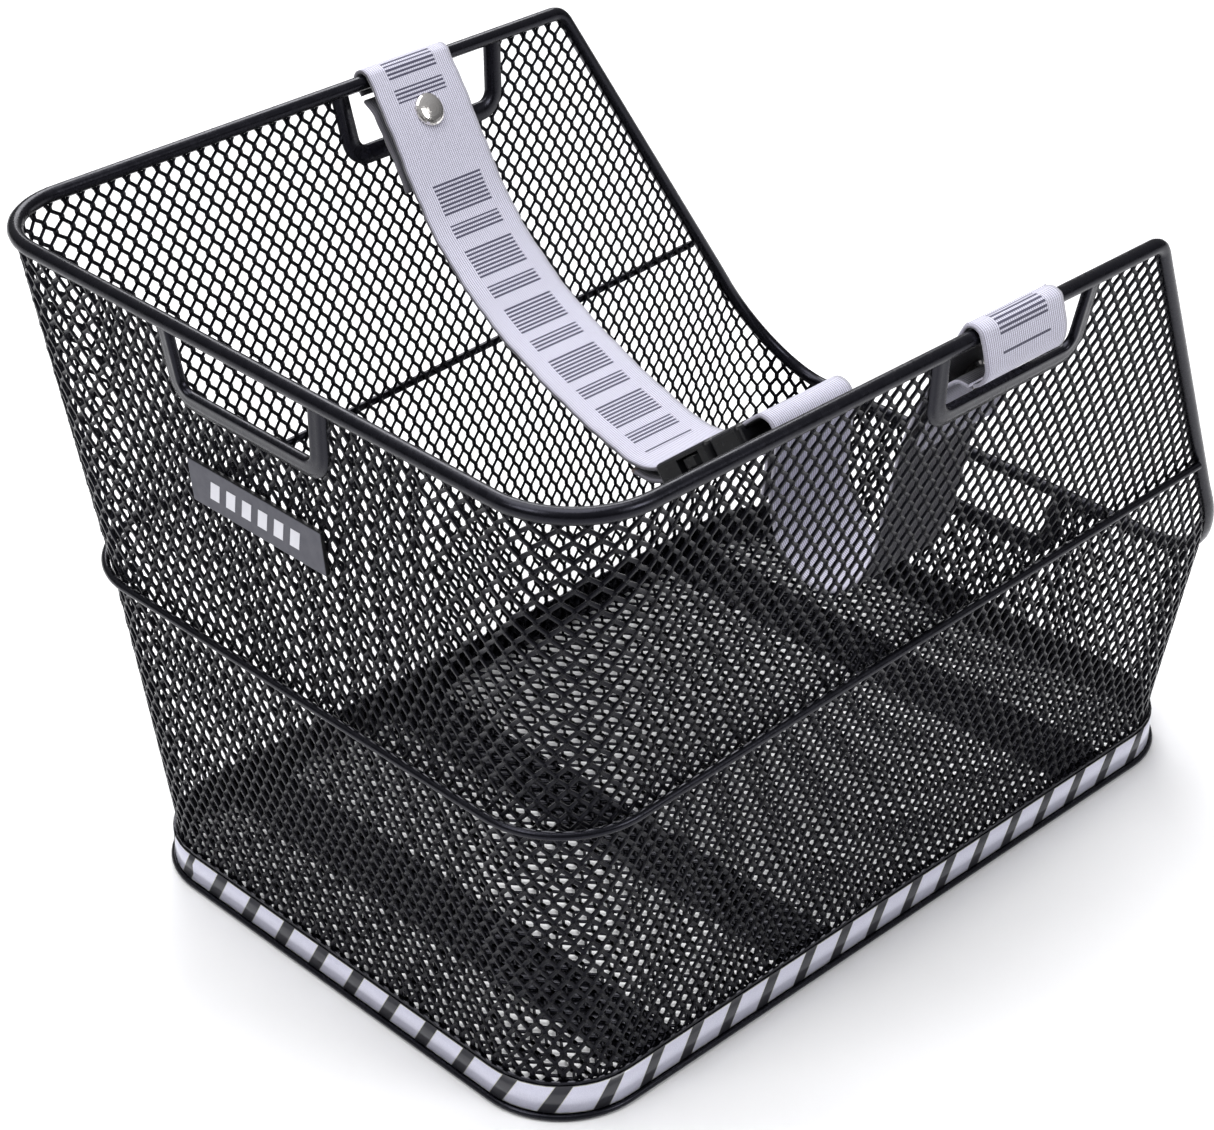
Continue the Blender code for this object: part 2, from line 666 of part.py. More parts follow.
def build_straps():
    hem = [(0.0030, 0.1905), (-0.0060, 0.1900), (-0.0140, 0.1917)]
    run = [(-0.0110, 0.1968), (0.0000, 0.1945), (0.0127, 0.1962), (0.0420, 0.2052), (0.0710, 0.2172)]
    run += [(0.0955, 0.2300), (0.1180, 0.2465), (0.1340, 0.2620), (0.1470, 0.2798), LEFT_STUD]
    loop = rim_arc(1, 32, 205)
    left = webbing("left_strap", hem + bar_wrap(0.0016, 1) + run + loop + [(0.1828, 0.3180)])
    tail = [(0.1812, 0.3160)] + [behind(LEFT_STUD, LEFT_RUN, 1, along) for along in (0.0070, 0.0, -0.0080)]
    tail += [behind(LEFT_STUD, LEFT_RUN, 1, -0.0200, 0.0058), (0.1530, 0.2780)]
    left_tail = webbing("left_strap_tail", tail)

    hem = [(-0.0770, 0.2100), (-0.0784, 0.2220), (-0.0778, 0.2310)]
    wrap = bar_wrap(0.0598, -1)
    arch = [buckle_point(0.0650, 0.0046), (-0.0745, 0.2495), (-0.0812, 0.2475), (-0.0838, 0.2390)]
    fall = [(-0.0826, 0.2240), (-0.0818, 0.2080), (-0.0862, 0.1930), (-0.0950, 0.1822), (-0.1070, 0.1775)]
    rise = [(-0.1205, 0.1808), (-0.1320, 0.1910), (-0.1390, 0.2070), (-0.1440, 0.2320), (-0.1505, 0.2640)]
    rise += [behind(RIGHT_STUD, RIGHT_RUN, -1, along, 0.0) for along in (-0.0090, 0.0, 0.0090)]
    loop = rim_arc(-1, 28, 150) + [(-0.1893, 0.3180), (-0.1898, 0.3120), (-0.1878, 0.3070), (-0.1840, 0.3045)]
    right = webbing("right_strap", hem + wrap + arch + fall + rise + loop, drift=(0.0, STRAP_DRIFT))
    tail = [(-0.1815, 0.3036), (-0.1760, 0.3035)]
    tail += [behind(RIGHT_STUD, RIGHT_RUN, -1, along) for along in (0.0070, 0.0, -0.0080)]
    tail.append(behind(RIGHT_STUD, RIGHT_RUN, -1, -0.0200, 0.0068))
    tail.append(behind(RIGHT_STUD, RIGHT_RUN, -1, -0.0310, 0.0082))
    right_tail = webbing("right_strap_tail", tail, drift=(STRAP_DRIFT, STRAP_DRIFT))
    return (left, left_tail), (right, right_tail)


# ---- press studs --------------------------------------------------------------------------------------


def dome_profile(radius, height, base, steps=6):
    """From the crown of a shallow dome down its outer side to height base."""
    points = []
    for i in range(steps + 1):
        angle = math.pi / 2 * i / steps
        points.append((radius * math.sin(angle), base + height * math.cos(angle)))
    return points


def build_stud(label, stud, run, side, sheets, drift):
    """A four-piece press stud; its own Z points from the tail to the cap, out of the webbing's face."""
    skin = STRAP_THICKNESS / 2 + GAP
    normal = Vector((0.0, -side * run[1], side * run[0]))
    along = Vector((0.0, run[0], run[1]))
    across = along.cross(normal)
    place = Matrix((across, along, normal)).transposed().to_4x4()
    place.translation = Vector((STRAP_X + drift, stud[0], stud[1]))
    tail_skin = STUD_OFFSET - STRAP_THICKNESS / 2 - GAP  # front face of the tail layer, from the run's middle

    cap = dome_profile(0.0080, 0.0022, skin + 0.0006)
    cap += [(0.0080, skin), (0.0018, skin), (0.0018, -skin - 0.0008)]
    cap.append((0.0, -skin - 0.0008))
    bowl = [(0.0024, -skin), (0.0062, -skin), (0.0062, -skin - 0.0010), (0.0052, -tail_skin + 0.0010 + GAP)]
    bowl += [(0.0034, -tail_skin + 0.0010 + GAP), (0.0034, -skin - 0.0012)]
    bowl += [(0.0024, -skin - 0.0012), (0.0024, -skin)]
    foot = -tail_skin
    ball = [(0.0, foot + 0.0026), (0.0022, foot + 0.0024), (0.0027, foot + 0.0018), (0.0022, foot + 0.0010)]
    ball += [(0.0060, foot + 0.0008), (0.0060, foot), (0.0022, foot)]
    ball += [(0.0022, foot + 0.0004), (0.0, foot + 0.0004)]
    deep = -STUD_OFFSET - skin
    rivet = [(0.0, foot + 0.0001), (0.0016, foot + 0.0001), (0.0016, deep), (0.0055, deep)]
    rivet += [(0.0055, deep - 0.0006), (0.0040, deep - 0.0011), (0.0, deep - 0.0012)]
    pieces = (("cap", cap), ("socket", bowl), ("ball", ball), ("rivet", rivet))
    for piece, profile in pieces:
        made = turned_object(f"{label}_stud_{piece}", profile, NICKEL)
        made.matrix_world = place
    run_sheet, tail_sheet = sheets
    for sheet, radius, depth in ((run_sheet, 0.0018, 0.0), (tail_sheet, 0.0016, -STUD_OFFSET)):
        start = place @ Vector((0, 0, depth - 0.003))
        end = place @ Vector((0, 0, depth + 0.0022))
        cut(sheet, cutter_rod(f"{sheet.name}_eyelet", start, end, radius + GAP))


# ---- side-release buckle ------------------------------------------------------------------------------


def buckle_placement():
    place = Matrix.Rotation(math.pi, 4, "Z") @ Matrix.Rotation(BUCKLE_TILT, 4, "X")
    place.translation = Vector((STRAP_X, BUCKLE_ORIGIN[0], BUCKLE_ORIGIN[1]))
    return place


def build_socket(place):
    half = BUCKLE_WIDTH / 2
    thick = BUCKLE_THICKNESS / 2
    slot = STRAP_WIDTH / 2 + 0.0005
    socket = box_object("buckle_socket", (-half, 0.0, -thick), (half, SOCKET_LENGTH, thick), BLACK_PLASTIC)
    bevel(socket, 0.0022, 3)
    socket.matrix_world = place
    boxes = {
        "socket_slot": ((-slot, 0.0032, -0.02), (slot, 0.0110, 0.02)),
        "socket_bar_top": ((-slot, -0.01, BAR_HALF), (slot, 0.0040, 0.02)),
        "socket_bar_bottom": ((-slot, -0.01, -0.02), (slot, 0.0040, -BAR_HALF)),
        "socket_cavity": ((-0.0255, 0.0130, -0.0036), (0.0255, 0.0500, 0.0036)),
        "socket_windows": ((-0.05, 0.0165, -0.0034), (0.05, 0.0330, 0.0034)),
    }
    for name, (low, high) in boxes.items():
        cutter = cutter_box(name, low, high)
        cutter.matrix_world = place
        cut(socket, cutter)


def build_plug(place):
    half = BUCKLE_WIDTH / 2 - 0.0015
    thick = BUCKLE_THICKNESS / 2 - 0.0005
    slot = STRAP_WIDTH / 2 + 0.0005
    start = (-half, SOCKET_LENGTH + 0.0006, -thick)
    plug = box_object("buckle_plug", start, (half, PLUG_END, thick), BLACK_PLASTIC)
    bevel(plug, 0.0022, 3)
    plug.matrix_world = place
    tongue = cutter_box("plug_tongue", (-0.0045, 0.0190, -0.0020), (0.0045, SOCKET_LENGTH + 0.004, 0.0020))
    tongue.matrix_world = place
    cut(plug, tongue, "UNION")
    boxes = {
        "plug_slot": ((-slot, 0.0490, -0.02), (slot, 0.0576, 0.02)),
        "plug_bar_top": ((-slot, 0.0560, BAR_HALF), (slot, 0.08, 0.02)),
        "plug_bar_bottom": ((-slot, 0.0560, -0.02), (slot, 0.08, -BAR_HALF)),
    }
    for name, (low, high) in boxes.items():
        cutter = cutter_box(name, low, high)
        cutter.matrix_world = place
        cut(plug, cutter)


def build_release_arm(label, side, place):
    """A springy arm of the plug; its pad fills the socket's side window. It hinges at its root."""
    root = (0.0205, SOCKET_LENGTH + 0.0002)
    outline = [(0.0180, root[1]), (0.0180, 0.0240), (0.0200, 0.0172), (0.0285, 0.0172), (0.0305, 0.0195)]
    outline += [(0.0305, 0.0270), (0.0270, 0.0322), (0.0235, 0.0326), (0.0230, root[1])]
    shifted = [(side * (x - root[0]), y - root[1]) for x, y in outline]
    placement = place @ Matrix.Translation((side * root[0], root[1], 0.0))
    made = flat_outline(f"{label}_release_arm", shifted, 0.0060, BLACK_PLASTIC, placement)
    return made


# ---- assembly -----------------------------------------------------------------------------------------

build_rim()
build_middle_wire()
build_base()
back_wall, front_wall = build_end_walls()
left_wall = build_side_wall("mesh_left_wall", 1)
right_wall = build_side_wall("mesh_right_wall", -1)
build_corners()
build_floor()
build_handles(back_wall, front_wall, left_wall, right_wall)
build_badge(back_wall)

left_sheets, right_sheets = build_straps()
build_stud("left", LEFT_STUD, LEFT_RUN, 1, left_sheets, 0.0)
build_stud("right", RIGHT_STUD, RIGHT_RUN, -1, right_sheets, STRAP_DRIFT)

buckle_place = buckle_placement()
build_socket(buckle_place)
build_plug(buckle_place)
build_release_arm("back", 1, buckle_place)
build_release_arm("front", -1, buckle_place)
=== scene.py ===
"""Looks of the rear-carrier basket: expanded-metal mesh, coated wires, reflective tape and woven strap.

Every length is in metres, in the CAD model's frame: +Z up, +X towards the lowered end wall.
"""

import math

import bmesh
import bpy
import numpy as np
from mathutils import Matrix, Vector


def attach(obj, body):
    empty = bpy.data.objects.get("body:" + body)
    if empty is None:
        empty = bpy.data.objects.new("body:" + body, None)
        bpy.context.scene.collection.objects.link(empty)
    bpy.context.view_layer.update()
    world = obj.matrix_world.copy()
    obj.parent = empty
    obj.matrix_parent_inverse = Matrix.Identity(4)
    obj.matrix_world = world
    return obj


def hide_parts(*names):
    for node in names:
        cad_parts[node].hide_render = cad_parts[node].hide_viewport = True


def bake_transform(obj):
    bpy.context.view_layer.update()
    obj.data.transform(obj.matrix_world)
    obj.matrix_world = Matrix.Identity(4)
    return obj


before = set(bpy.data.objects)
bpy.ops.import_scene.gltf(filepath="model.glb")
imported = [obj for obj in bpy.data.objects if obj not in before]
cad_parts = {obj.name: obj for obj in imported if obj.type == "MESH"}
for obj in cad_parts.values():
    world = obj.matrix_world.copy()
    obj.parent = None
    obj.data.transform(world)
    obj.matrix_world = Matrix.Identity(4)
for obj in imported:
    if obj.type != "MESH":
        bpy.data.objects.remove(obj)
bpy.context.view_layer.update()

# ---- sizes shared with the CAD model --------------------------------------------------------------------

BASE_CENTRE_X = 0.045
BASE_HALF_X = 0.2150
BASE_HALF_Y = 0.1430
CORNER_RADIUS = 0.040
BEND_Z = 0.027
WIRE_Z = 0.163
RIM_Z = 0.325
LOW_RIM_Z = 0.097
BACK_SLOPES = (0.083, 0.098)
SIDE_SLOPES = (0.110, 0.148)
FRONT_SLOPE = 0.143
RIM_RADIUS = 0.0035
SLOPE_TOP_X = BASE_CENTRE_X + 0.0985
RIM_BEND_RADIUS = 0.010
MIDDLE_WIRE_RADIUS = 0.0020
MIDDLE_WIRE_Z = 0.1642
MIDDLE_WIRE_RISE = 0.038
WIRE_END_GAP = 0.004  # from a middle wire's end to the rim's centre line
WALL_SKIN = 0.0009  # from the mesh's centre surface to whatever touches its outside
BAND_THICKNESS = 0.0008
BASE_WIRE_RADIUS = 0.0015
BEAD_OUTSET = 0.0010
TAPE_OUTSET = 0.0004
TAPE_THICKNESS = 0.0002
TAPE_BOTTOM_Z = 0.0032
TAPE_HEIGHT = 0.0150
FLOOR_Z = 0.00255
FLOOR_PITCH = (0.0066, 0.0061)
HANDLE_BOTTOM_Z = 0.2955
HANDLE_HALF_BOTTOM = 0.0405
HANDLE_HALF_TOP = 0.0440
HANDLE_STRIP = 0.0060
HANDLE_CORNER = 0.006
HANDLE_BACK_Y = 0.005
HANDLE_SIDE_X = BASE_CENTRE_X + 0.005
HANDLE_FRONT_Y = -0.004
HANDLE_FRONT_Z = 0.0685
HANDLE_TUCK = 0.6  # a hand hole's strip ends this share of the rim's radius below its centre line
STRAP_WIDTH = 0.050
STRAP_THICKNESS = 0.0016
STRAP_X = BASE_CENTRE_X - 0.0035
STRAP_DRIFT = 0.0045
BUCKLE_ORIGIN = (-0.021, 0.199)
BUCKLE_TILT = math.radians(40)
BUCKLE_PARTS = ("buckle_socket", "buckle_plug", "back_release_arm", "front_release_arm")
BUCKLE_EDGE = 0.0011

# ---- mesh pattern ---------------------------------------------------------------------------------------

STRAND_WIDTH = 0.00174  # seen square on, away from the knuckles
KNUCKLE_WIDTH = 0.0028  # where two strands run as one
KNUCKLE_SHARE = 0.22  # of a strand's height, at each end
KNUCKLE_PULL = 0.7  # how far a strand's ends stand upright, as a share of the knuckle's height
STRAND_DEPTH = 0.00100
SHORTEST_STRAND = 0.0006
FLOOR_SLIM = 0.8  # the floor's strands are this share as wide
UPRIGHT = (0, 0, 0)
LEFT_LEAN = (-0.70, 0, 0.45)  # added to the left wall's normal, it turns the flat of each strand
ROWS = 52
SHEET_BOTTOM_Z = 0.003
COLUMNS = (15, 10, 51, 9, 15)  # half the basket: back wall, back corner, side wall, front corner, front wall
BACK_PITCH = 0.00665
SIDE_ROW_DRIFT = 0.105  # rows are this share further apart at the foot of a side wall than on average


def travel(z, slopes):
    lower = np.clip(z - BEND_Z, 0.0, WIRE_Z - BEND_Z)
    return lower * slopes[0] + np.maximum(z - WIRE_Z, 0.0) * slopes[1]


def back_x(z):
    return BASE_CENTRE_X - BASE_HALF_X - travel(z, BACK_SLOPES)


def front_x(z):
    return BASE_CENTRE_X + BASE_HALF_X + travel(z, (FRONT_SLOPE, FRONT_SLOPE))


def side_y(z):
    return BASE_HALF_Y + travel(z, SIDE_SLOPES)


DESCENT = (RIM_Z - LOW_RIM_Z) / (front_x(LOW_RIM_Z) - SLOPE_TOP_X)


def rim_top(x):
    """Height of the rim's centre line above a place on the mesh."""
    return np.minimum(RIM_Z, RIM_Z - DESCENT * (x - SLOPE_TOP_X))


# ---- materials ------------------------------------------------------------------------------------------


class Nodes:
    """Short hand for building a material's node tree."""

    def __init__(self, name):
        self.material = bpy.data.materials.new(name)
        self.material.use_nodes = True
        self.tree = self.material.node_tree
        self.shader = self.tree.nodes["Principled BSDF"]

    def add(self, kind, **settings):
        node = self.tree.nodes.new(kind)
        for key, value in settings.items():
            setattr(node, key, value)
        return node

    def link(self, source, target):
        self.tree.links.new(source, target)

    def math(self, operation, first, second=0.0):
        node = self.add("ShaderNodeMath", operation=operation)
        for socket, value in zip(node.inputs, (first, second)):
            if isinstance(value, (int, float)):
                socket.default_value = value
            else:
                self.link(value, socket)
        return node.outputs[0]

    def noise(self, scale, detail=2.0, roughness=0.5):
        node = self.add("ShaderNodeTexNoise")
        node.inputs["Scale"].default_value = scale
        node.inputs["Detail"].default_value = detail
        node.inputs["Roughness"].default_value = roughness
        self.link(self.position(), node.inputs["Vector"])
        return node.outputs[0]

    def position(self):
        return self.add("ShaderNodeTexCoord").outputs["Object"]

    def along_across(self):
        """Metres across and along a strip, from its UV map."""
        node = self.add("ShaderNodeSeparateXYZ")
        self.link(self.add("ShaderNodeUVMap", uv_map="metres").outputs[0], node.inputs[0])
        return node.outputs[0], node.outputs[1]

    def ramp(self, factor, low, high, from_low=0.0, from_high=1.0):
        node = self.add("ShaderNodeMapRange")
        node.inputs["From Min"].default_value = from_low
        node.inputs["From Max"].default_value = from_high
        node.inputs["To Min"].default_value = low
        node.inputs["To Max"].default_value = high
        self.link(factor, node.inputs["Value"])
        return node.outputs[0]

    def mix(self, factor, first, second):
        node = self.add("ShaderNodeMix", data_type="RGBA")
        self.link(factor, node.inputs[0])
        for socket, value in ((node.inputs[6], first), (node.inputs[7], second)):
            if isinstance(value, tuple):
                socket.default_value = (*value, 1.0)
            else:
                self.link(value, socket)
        return node.outputs[2]

    def bump(self, height, distance, strength):
        node = self.add("ShaderNodeBump")
        node.inputs["Strength"].default_value = strength
        node.inputs["Distance"].default_value = distance
        self.link(height, node.inputs["Height"])
        self.link(node.outputs[0], self.shader.inputs["Normal"])

    def colour(self, socket):
        self.link(socket, self.shader.inputs["Base Color"])

    def roughness(self, socket):
        self.link(socket, self.shader.inputs["Roughness"])


def powder_coat(name, dark, light, low_rough, high_rough, gleam, peel=0.00004):
    """Powder coat: orange peel about 1 mm across, with a slightly uneven gloss."""
    made = Nodes(name)
    cloud = made.noise(90.0, 3.0)
    made.colour(made.mix(cloud, dark, light))
    made.roughness(made.ramp(made.noise(240.0, 2.0), low_rough, high_rough, 0.3, 0.7))
    coarse = made.noise(900.0, 1.0)
    fine = made.math("MULTIPLY", made.noise(3200.0, 1.0), 0.3)
    made.bump(made.math("ADD", coarse, fine), peel, 0.8)
    made.shader.inputs["Specular IOR Level"].default_value = gleam
    made.shader.inputs["Specular Tint"].default_value = (0.80, 0.80, 1.0, 1.0)
    return made.material


def moulded_plastic(name):
    made = Nodes(name)
    cloud = made.noise(140.0, 3.0)
    made.colour(made.mix(cloud, (0.0035, 0.0035, 0.0045), (0.0060, 0.0060, 0.0075)))
    made.roughness(made.ramp(made.noise(420.0, 3.0), 0.26, 0.40, 0.3, 0.7))
    made.shader.inputs["Specular IOR Level"].default_value = 0.28
    made.bump(made.noise(5200.0, 2.0, 0.6), 0.00002, 0.7)
    return made.material


def nickel(name):
    made = Nodes(name)
    made.shader.inputs["Metallic"].default_value = 1.0
    made.colour(made.mix(made.noise(300.0, 2.0), (0.72, 0.69, 0.66), (0.84, 0.82, 0.79)))
    made.roughness(made.ramp(made.noise(900.0, 4.0, 0.7), 0.09, 0.17, 0.35, 0.75))
    made.bump(made.noise(1500.0, 2.0), 0.000004, 0.5)
    return made.material


RIB_PITCH = 0.0012
PICK_PITCH = 0.0009
STRIPE_PITCH = 0.0020
BLOCK_PITCH = 0.034
LONG_BAR = 0.0152
SHORT_BAR = 0.0072
SHORT_AT = 0.0252
BLOCK_HALF_WIDTH = 0.0148
INK_SHARE = 0.52  # of each stripe's pitch
SHADED_EDGE_WIDTH = 0.0009
# width of the painted shade along each edge of the strap
SINGED_END = 0.0018


def woven_strap(name, face, patterned):
    """Ribbed polyester webbing, with painted shade in the grooves between its ribs and along its two edges.
    Blocks of dark widthwise stripes repeat along it where it is patterned.
    """
    made = Nodes(name)
    across, along = made.along_across()
    rib = made.math("SINE", made.math("MULTIPLY", across, 2 * math.pi / RIB_PITCH))
    turn = made.math("MULTIPLY", rib, 0.9)
    pick = made.math("SINE", made.math("ADD", made.math("MULTIPLY", along, 2 * math.pi / PICK_PITCH), turn))
    # crest is 0 in the grooves between ribs: there the colour falls to 0.30 of the face colour, as painted
    # shade
    crest = made.ramp(rib, 0.0, 1.0, -0.95, -0.20)
    weave = made.math("ADD", made.math("MULTIPLY", crest, 0.8), made.math("MULTIPLY", pick, 0.12))
    shade = made.mix(weave, tuple(c * 0.30 for c in face), face)
    if patterned:
        inked = made.add("ShaderNodeAttribute", attribute_name="inked").outputs["Fac"]
        ink = made.math("MULTIPLY", bar_pattern(made, across, along), made.math("GREATER_THAN", inked, 0.5))
        shade = made.mix(ink, shade, (0.045, 0.043, 0.080))
    # Painted shade: a strip along each edge of the strap is darkened towards dark grey
    edge = made.math("GREATER_THAN", made.math("ABSOLUTE", across), STRAP_WIDTH / 2 - SHADED_EDGE_WIDTH)
    shade = made.mix(made.math("MULTIPLY", edge, 0.45), shade, (0.16, 0.15, 0.18))
    ragged = made.math("ADD", along, made.ramp(made.noise(900.0, 2.0), -0.001, 0.001))
    singed = made.math("LESS_THAN", ragged, SINGED_END)
    shade = made.mix(made.math("MULTIPLY", singed, 0.75), shade, (0.085, 0.050, 0.035))
    fleck = made.ramp(made.noise(1400.0, 3.0, 0.7), 0.86, 1.08, 0.3, 0.7)
    scaled = made.add("ShaderNodeVectorMath", operation="SCALE")
    made.link(shade, scaled.inputs[0])
    made.link(fleck, scaled.inputs[3])
    made.colour(scaled.outputs[0])
    made.roughness(made.ramp(weave, 0.82, 0.66))
    made.shader.inputs["Sheen Weight"].default_value = 0.25
    made.shader.inputs["Sheen Roughness"].default_value = 0.4
    made.bump(made.math("ADD", weave, made.math("MULTIPLY", made.noise(2600.0, 2.0), 0.25)), 0.00022, 0.8)
    return made.material


def bar_pattern(made, across, along):
    """1 on the dark picks of a plain pattern: a long bar and a short one, over and over."""
    phase = made.math("MODULO", made.math("ADD", along, 1.0), BLOCK_PITCH)
    long_bar = made.math("LESS_THAN", phase, LONG_BAR)
    from_short = made.math("ABSOLUTE", made.math("SUBTRACT", phase, SHORT_AT))
    short_bar = made.math("LESS_THAN", from_short, SHORT_BAR / 2)
    inside = made.math("LESS_THAN", made.math("ABSOLUTE", across), BLOCK_HALF_WIDTH)
    inside = made.math("MULTIPLY", made.math("MAXIMUM", long_bar, short_bar), inside)
    pick = made.math("MODULO", made.math("ADD", along, 1.0), STRIPE_PITCH)
    return made.math("MULTIPLY", inside, made.math("LESS_THAN", pick, STRIPE_PITCH * INK_SHARE))


TAPE_PITCH = 0.0242
TAPE_WHITE = 0.0168
TAPE_LEAN = 0.55  # a block's top lies this far on for each metre of height
TAPE_RIM = 0.00035


def reflective_tape(name):
    """White prismatic blocks between dark slanted bars; a fine honeycomb of prisms lies under the film."""
    made = Nodes(name)
    along, height = made.along_across()
    slid = made.math("SUBTRACT", along, made.math("MULTIPLY", height, TAPE_LEAN))
    phase = made.math("MODULO", made.math("ADD", slid, 10.0), TAPE_PITCH)
    edge = made.math("MINIMUM", phase, made.math("SUBTRACT", TAPE_WHITE, phase))
    low = made.math("MINIMUM", height, made.math("SUBTRACT", TAPE_HEIGHT, height))
    edge = made.math("MINIMUM", edge, made.math("SUBTRACT", low, 0.0002))
    block = made.math("GREATER_THAN", edge, 0.0)
    core = made.math("GREATER_THAN", edge, TAPE_RIM)
    cells = made.add("ShaderNodeTexVoronoi", feature="DISTANCE_TO_EDGE")
    cells.inputs["Scale"].default_value = 1500.0
    made.link(made.position(), cells.inputs["Vector"])
    prism = made.ramp(cells.outputs["Distance"], 0.0, 1.0, 0.0, 0.25)
    white = made.mix(prism, (0.60, 0.60, 0.72), (0.70, 0.70, 0.82))
    shade = made.mix(core, (0.50, 0.50, 0.44), white)
    made.colour(made.mix(block, (0.024, 0.024, 0.031), shade))
    made.roughness(made.ramp(block, 0.42, 0.28))
    made.shader.inputs["Coat Weight"].default_value = 0.4
    made.shader.inputs["Coat Roughness"].default_value = 0.12
    made.bump(made.math("ADD", made.math("MULTIPLY", prism, 0.15), block), 0.00006, 0.5)
    return made.material


def studio_floor(name):
    made = Nodes(name)
    made.colour(made.mix(made.noise(2.0, 2.0), (0.90, 0.90, 0.91), (0.93, 0.93, 0.94)))
    made.roughness(made.ramp(made.noise(6.0, 2.0), 0.55, 0.7))
    return made.material


COAT = powder_coat("black_coat", (0.0012, 0.0012, 0.0020), (0.0022, 0.0022, 0.0034), 0.20, 0.32, 0.26)
MESH_COAT = powder_coat("mesh_coat", (0.0008, 0.0008, 0.0014), (0.0016, 0.0016, 0.0026), 0.22, 0.36, 0.15)
BADGE = powder_coat("badge_graphite", (0.058, 0.058, 0.070), (0.072, 0.072, 0.085), 0.42, 0.55, 0.3, 0.00002)
PRINT = powder_coat("badge_print", (0.62, 0.62, 0.66), (0.72, 0.72, 0.76), 0.40, 0.55, 0.4, 0.00001)
PLASTIC = moulded_plastic("moulded_black")
NICKEL = nickel("nickel_plate")
WEBBING = woven_strap("strap_face", (0.66, 0.65, 0.78), True)
# The strap's back is the same webbing painted much darker: painted shade on the face turned away from the
# light
SHADED_WEBBING_BACK = woven_strap("strap_back_painted_shade", (0.115, 0.113, 0.135), False)
TAPE = reflective_tape("reflective_tape_film")


# ---- helpers --------------------------------------------------------------------------------------------


def new_object(name, data, materials, body, replaces):
    """An object that rides on body, or on none yet if it is to be blended between two."""
    made = bpy.data.objects.new(name, data)
    bpy.context.scene.collection.objects.link(made)
    for material in materials:
        data.materials.append(material)
    if body:
        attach(made, body)
    if replaces:
        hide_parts(*replaces)
    return made


def numpy_mesh(name, points, quads):
    mesh = bpy.data.meshes.new(name)
    mesh.vertices.add(len(points))
    mesh.vertices.foreach_set("co", np.ascontiguousarray(points, np.float32).ravel())
    mesh.loops.add(len(quads) * 4)
    mesh.loops.foreach_set("vertex_index", np.ascontiguousarray(quads, np.int32).ravel())
    mesh.polygons.add(len(quads))
    mesh.polygons.foreach_set("loop_start", np.arange(0, len(quads) * 4, 4, dtype=np.int32))
    mesh.polygons.foreach_set("loop_total", np.full(len(quads), 4, np.int32))
    mesh.update(calc_edges=True)
    mesh.validate()
    mesh.shade_smooth()
    return mesh


# ---- expanded metal -------------------------------------------------------------------------------------

EDGES = np.concatenate([[0], np.cumsum(COLUMNS)])  # columns at which the wall's parts meet
HALF = int(EDGES[-1])


def wall_point(column, row):
    """Place on the mesh of a column (0 to HALF from back to front; negative on the right) and a row."""
    side = np.where(column < 0, -1.0, 1.0)
    column = np.abs(column)
    share = row / ROWS
    height = RIM_Z - SHEET_BOTTOM_Z
    even = SHEET_BOTTOM_Z + height * share
    drift = SHEET_BOTTOM_Z + height * share * (1 + SIDE_ROW_DRIFT * (1 - share))
    blend = np.clip((column - EDGES[1]) / COLUMNS[1], 0.0, 1.0)
    z = even + (drift - even) * blend * blend * (3 - 2 * blend)
    back, front, wide = back_x(z), front_x(z), side_y(z)
    start = BACK_PITCH * COLUMNS[0]
    flat = wide - CORNER_RADIUS - start
    arc = CORNER_RADIUS * math.pi / 2
    run = (column - EDGES[1]) / COLUMNS[1] * (flat + arc)
    turn = np.clip((run - flat) / CORNER_RADIUS, 0.0, math.pi / 2)
    corner_x = back + CORNER_RADIUS - CORNER_RADIUS * np.cos(turn)
    corner_y = np.where(run < flat, start + run, wide - CORNER_RADIUS + CORNER_RADIUS * np.sin(turn))
    side_x = back + CORNER_RADIUS + (front - back - 2 * CORNER_RADIUS) * (column - EDGES[2]) / COLUMNS[2]
    turn = np.clip((column - EDGES[3]) / COLUMNS[3], 0.0, 1.0) * math.pi / 2
    nose_x = front - CORNER_RADIUS + CORNER_RADIUS * np.sin(turn)
    nose_y = wide - CORNER_RADIUS + CORNER_RADIUS * np.cos(turn)
    front_y = (wide - CORNER_RADIUS) * (HALF - column) / COLUMNS[4]
    parts = [column <= EDGES[1], column <= EDGES[2], column <= EDGES[3], column <= EDGES[4]]
    x = np.select(parts, [back, corner_x, side_x, nose_x], front)
    y = np.select(parts, [BACK_PITCH * column, corner_y, wide, nose_y], front_y)
    return np.stack([x, y * side, z], axis=-1)


def floor_point(column, row):
    x = column * FLOOR_PITCH[0] + BASE_CENTRE_X
    return np.stack([x, row * FLOOR_PITCH[1], np.full(np.shape(column), FLOOR_Z)], axis=-1)


def over_floor(points):
    """True where a point is inside the floor's rounded outline."""
    x = np.abs(points[:, 0] - BASE_CENTRE_X) - (BASE_HALF_X - CORNER_RADIUS)
    y = np.abs(points[:, 1]) - (BASE_HALF_Y - CORNER_RADIUS)
    return np.hypot(np.maximum(x, 0.0), np.maximum(y, 0.0)) < CORNER_RADIUS


def in_hand_hole(offset, z):
    """True inside the pressed frame of a hand hole."""
    spread = (HANDLE_HALF_TOP - HANDLE_HALF_BOTTOM) / (RIM_Z - HANDLE_BOTTOM_Z)
    edge = HANDLE_HALF_BOTTOM + HANDLE_STRIP / 2 + spread * (z - HANDLE_BOTTOM_Z)
    return (np.abs(offset) < edge) & (z > HANDLE_BOTTOM_Z - HANDLE_STRIP / 2)


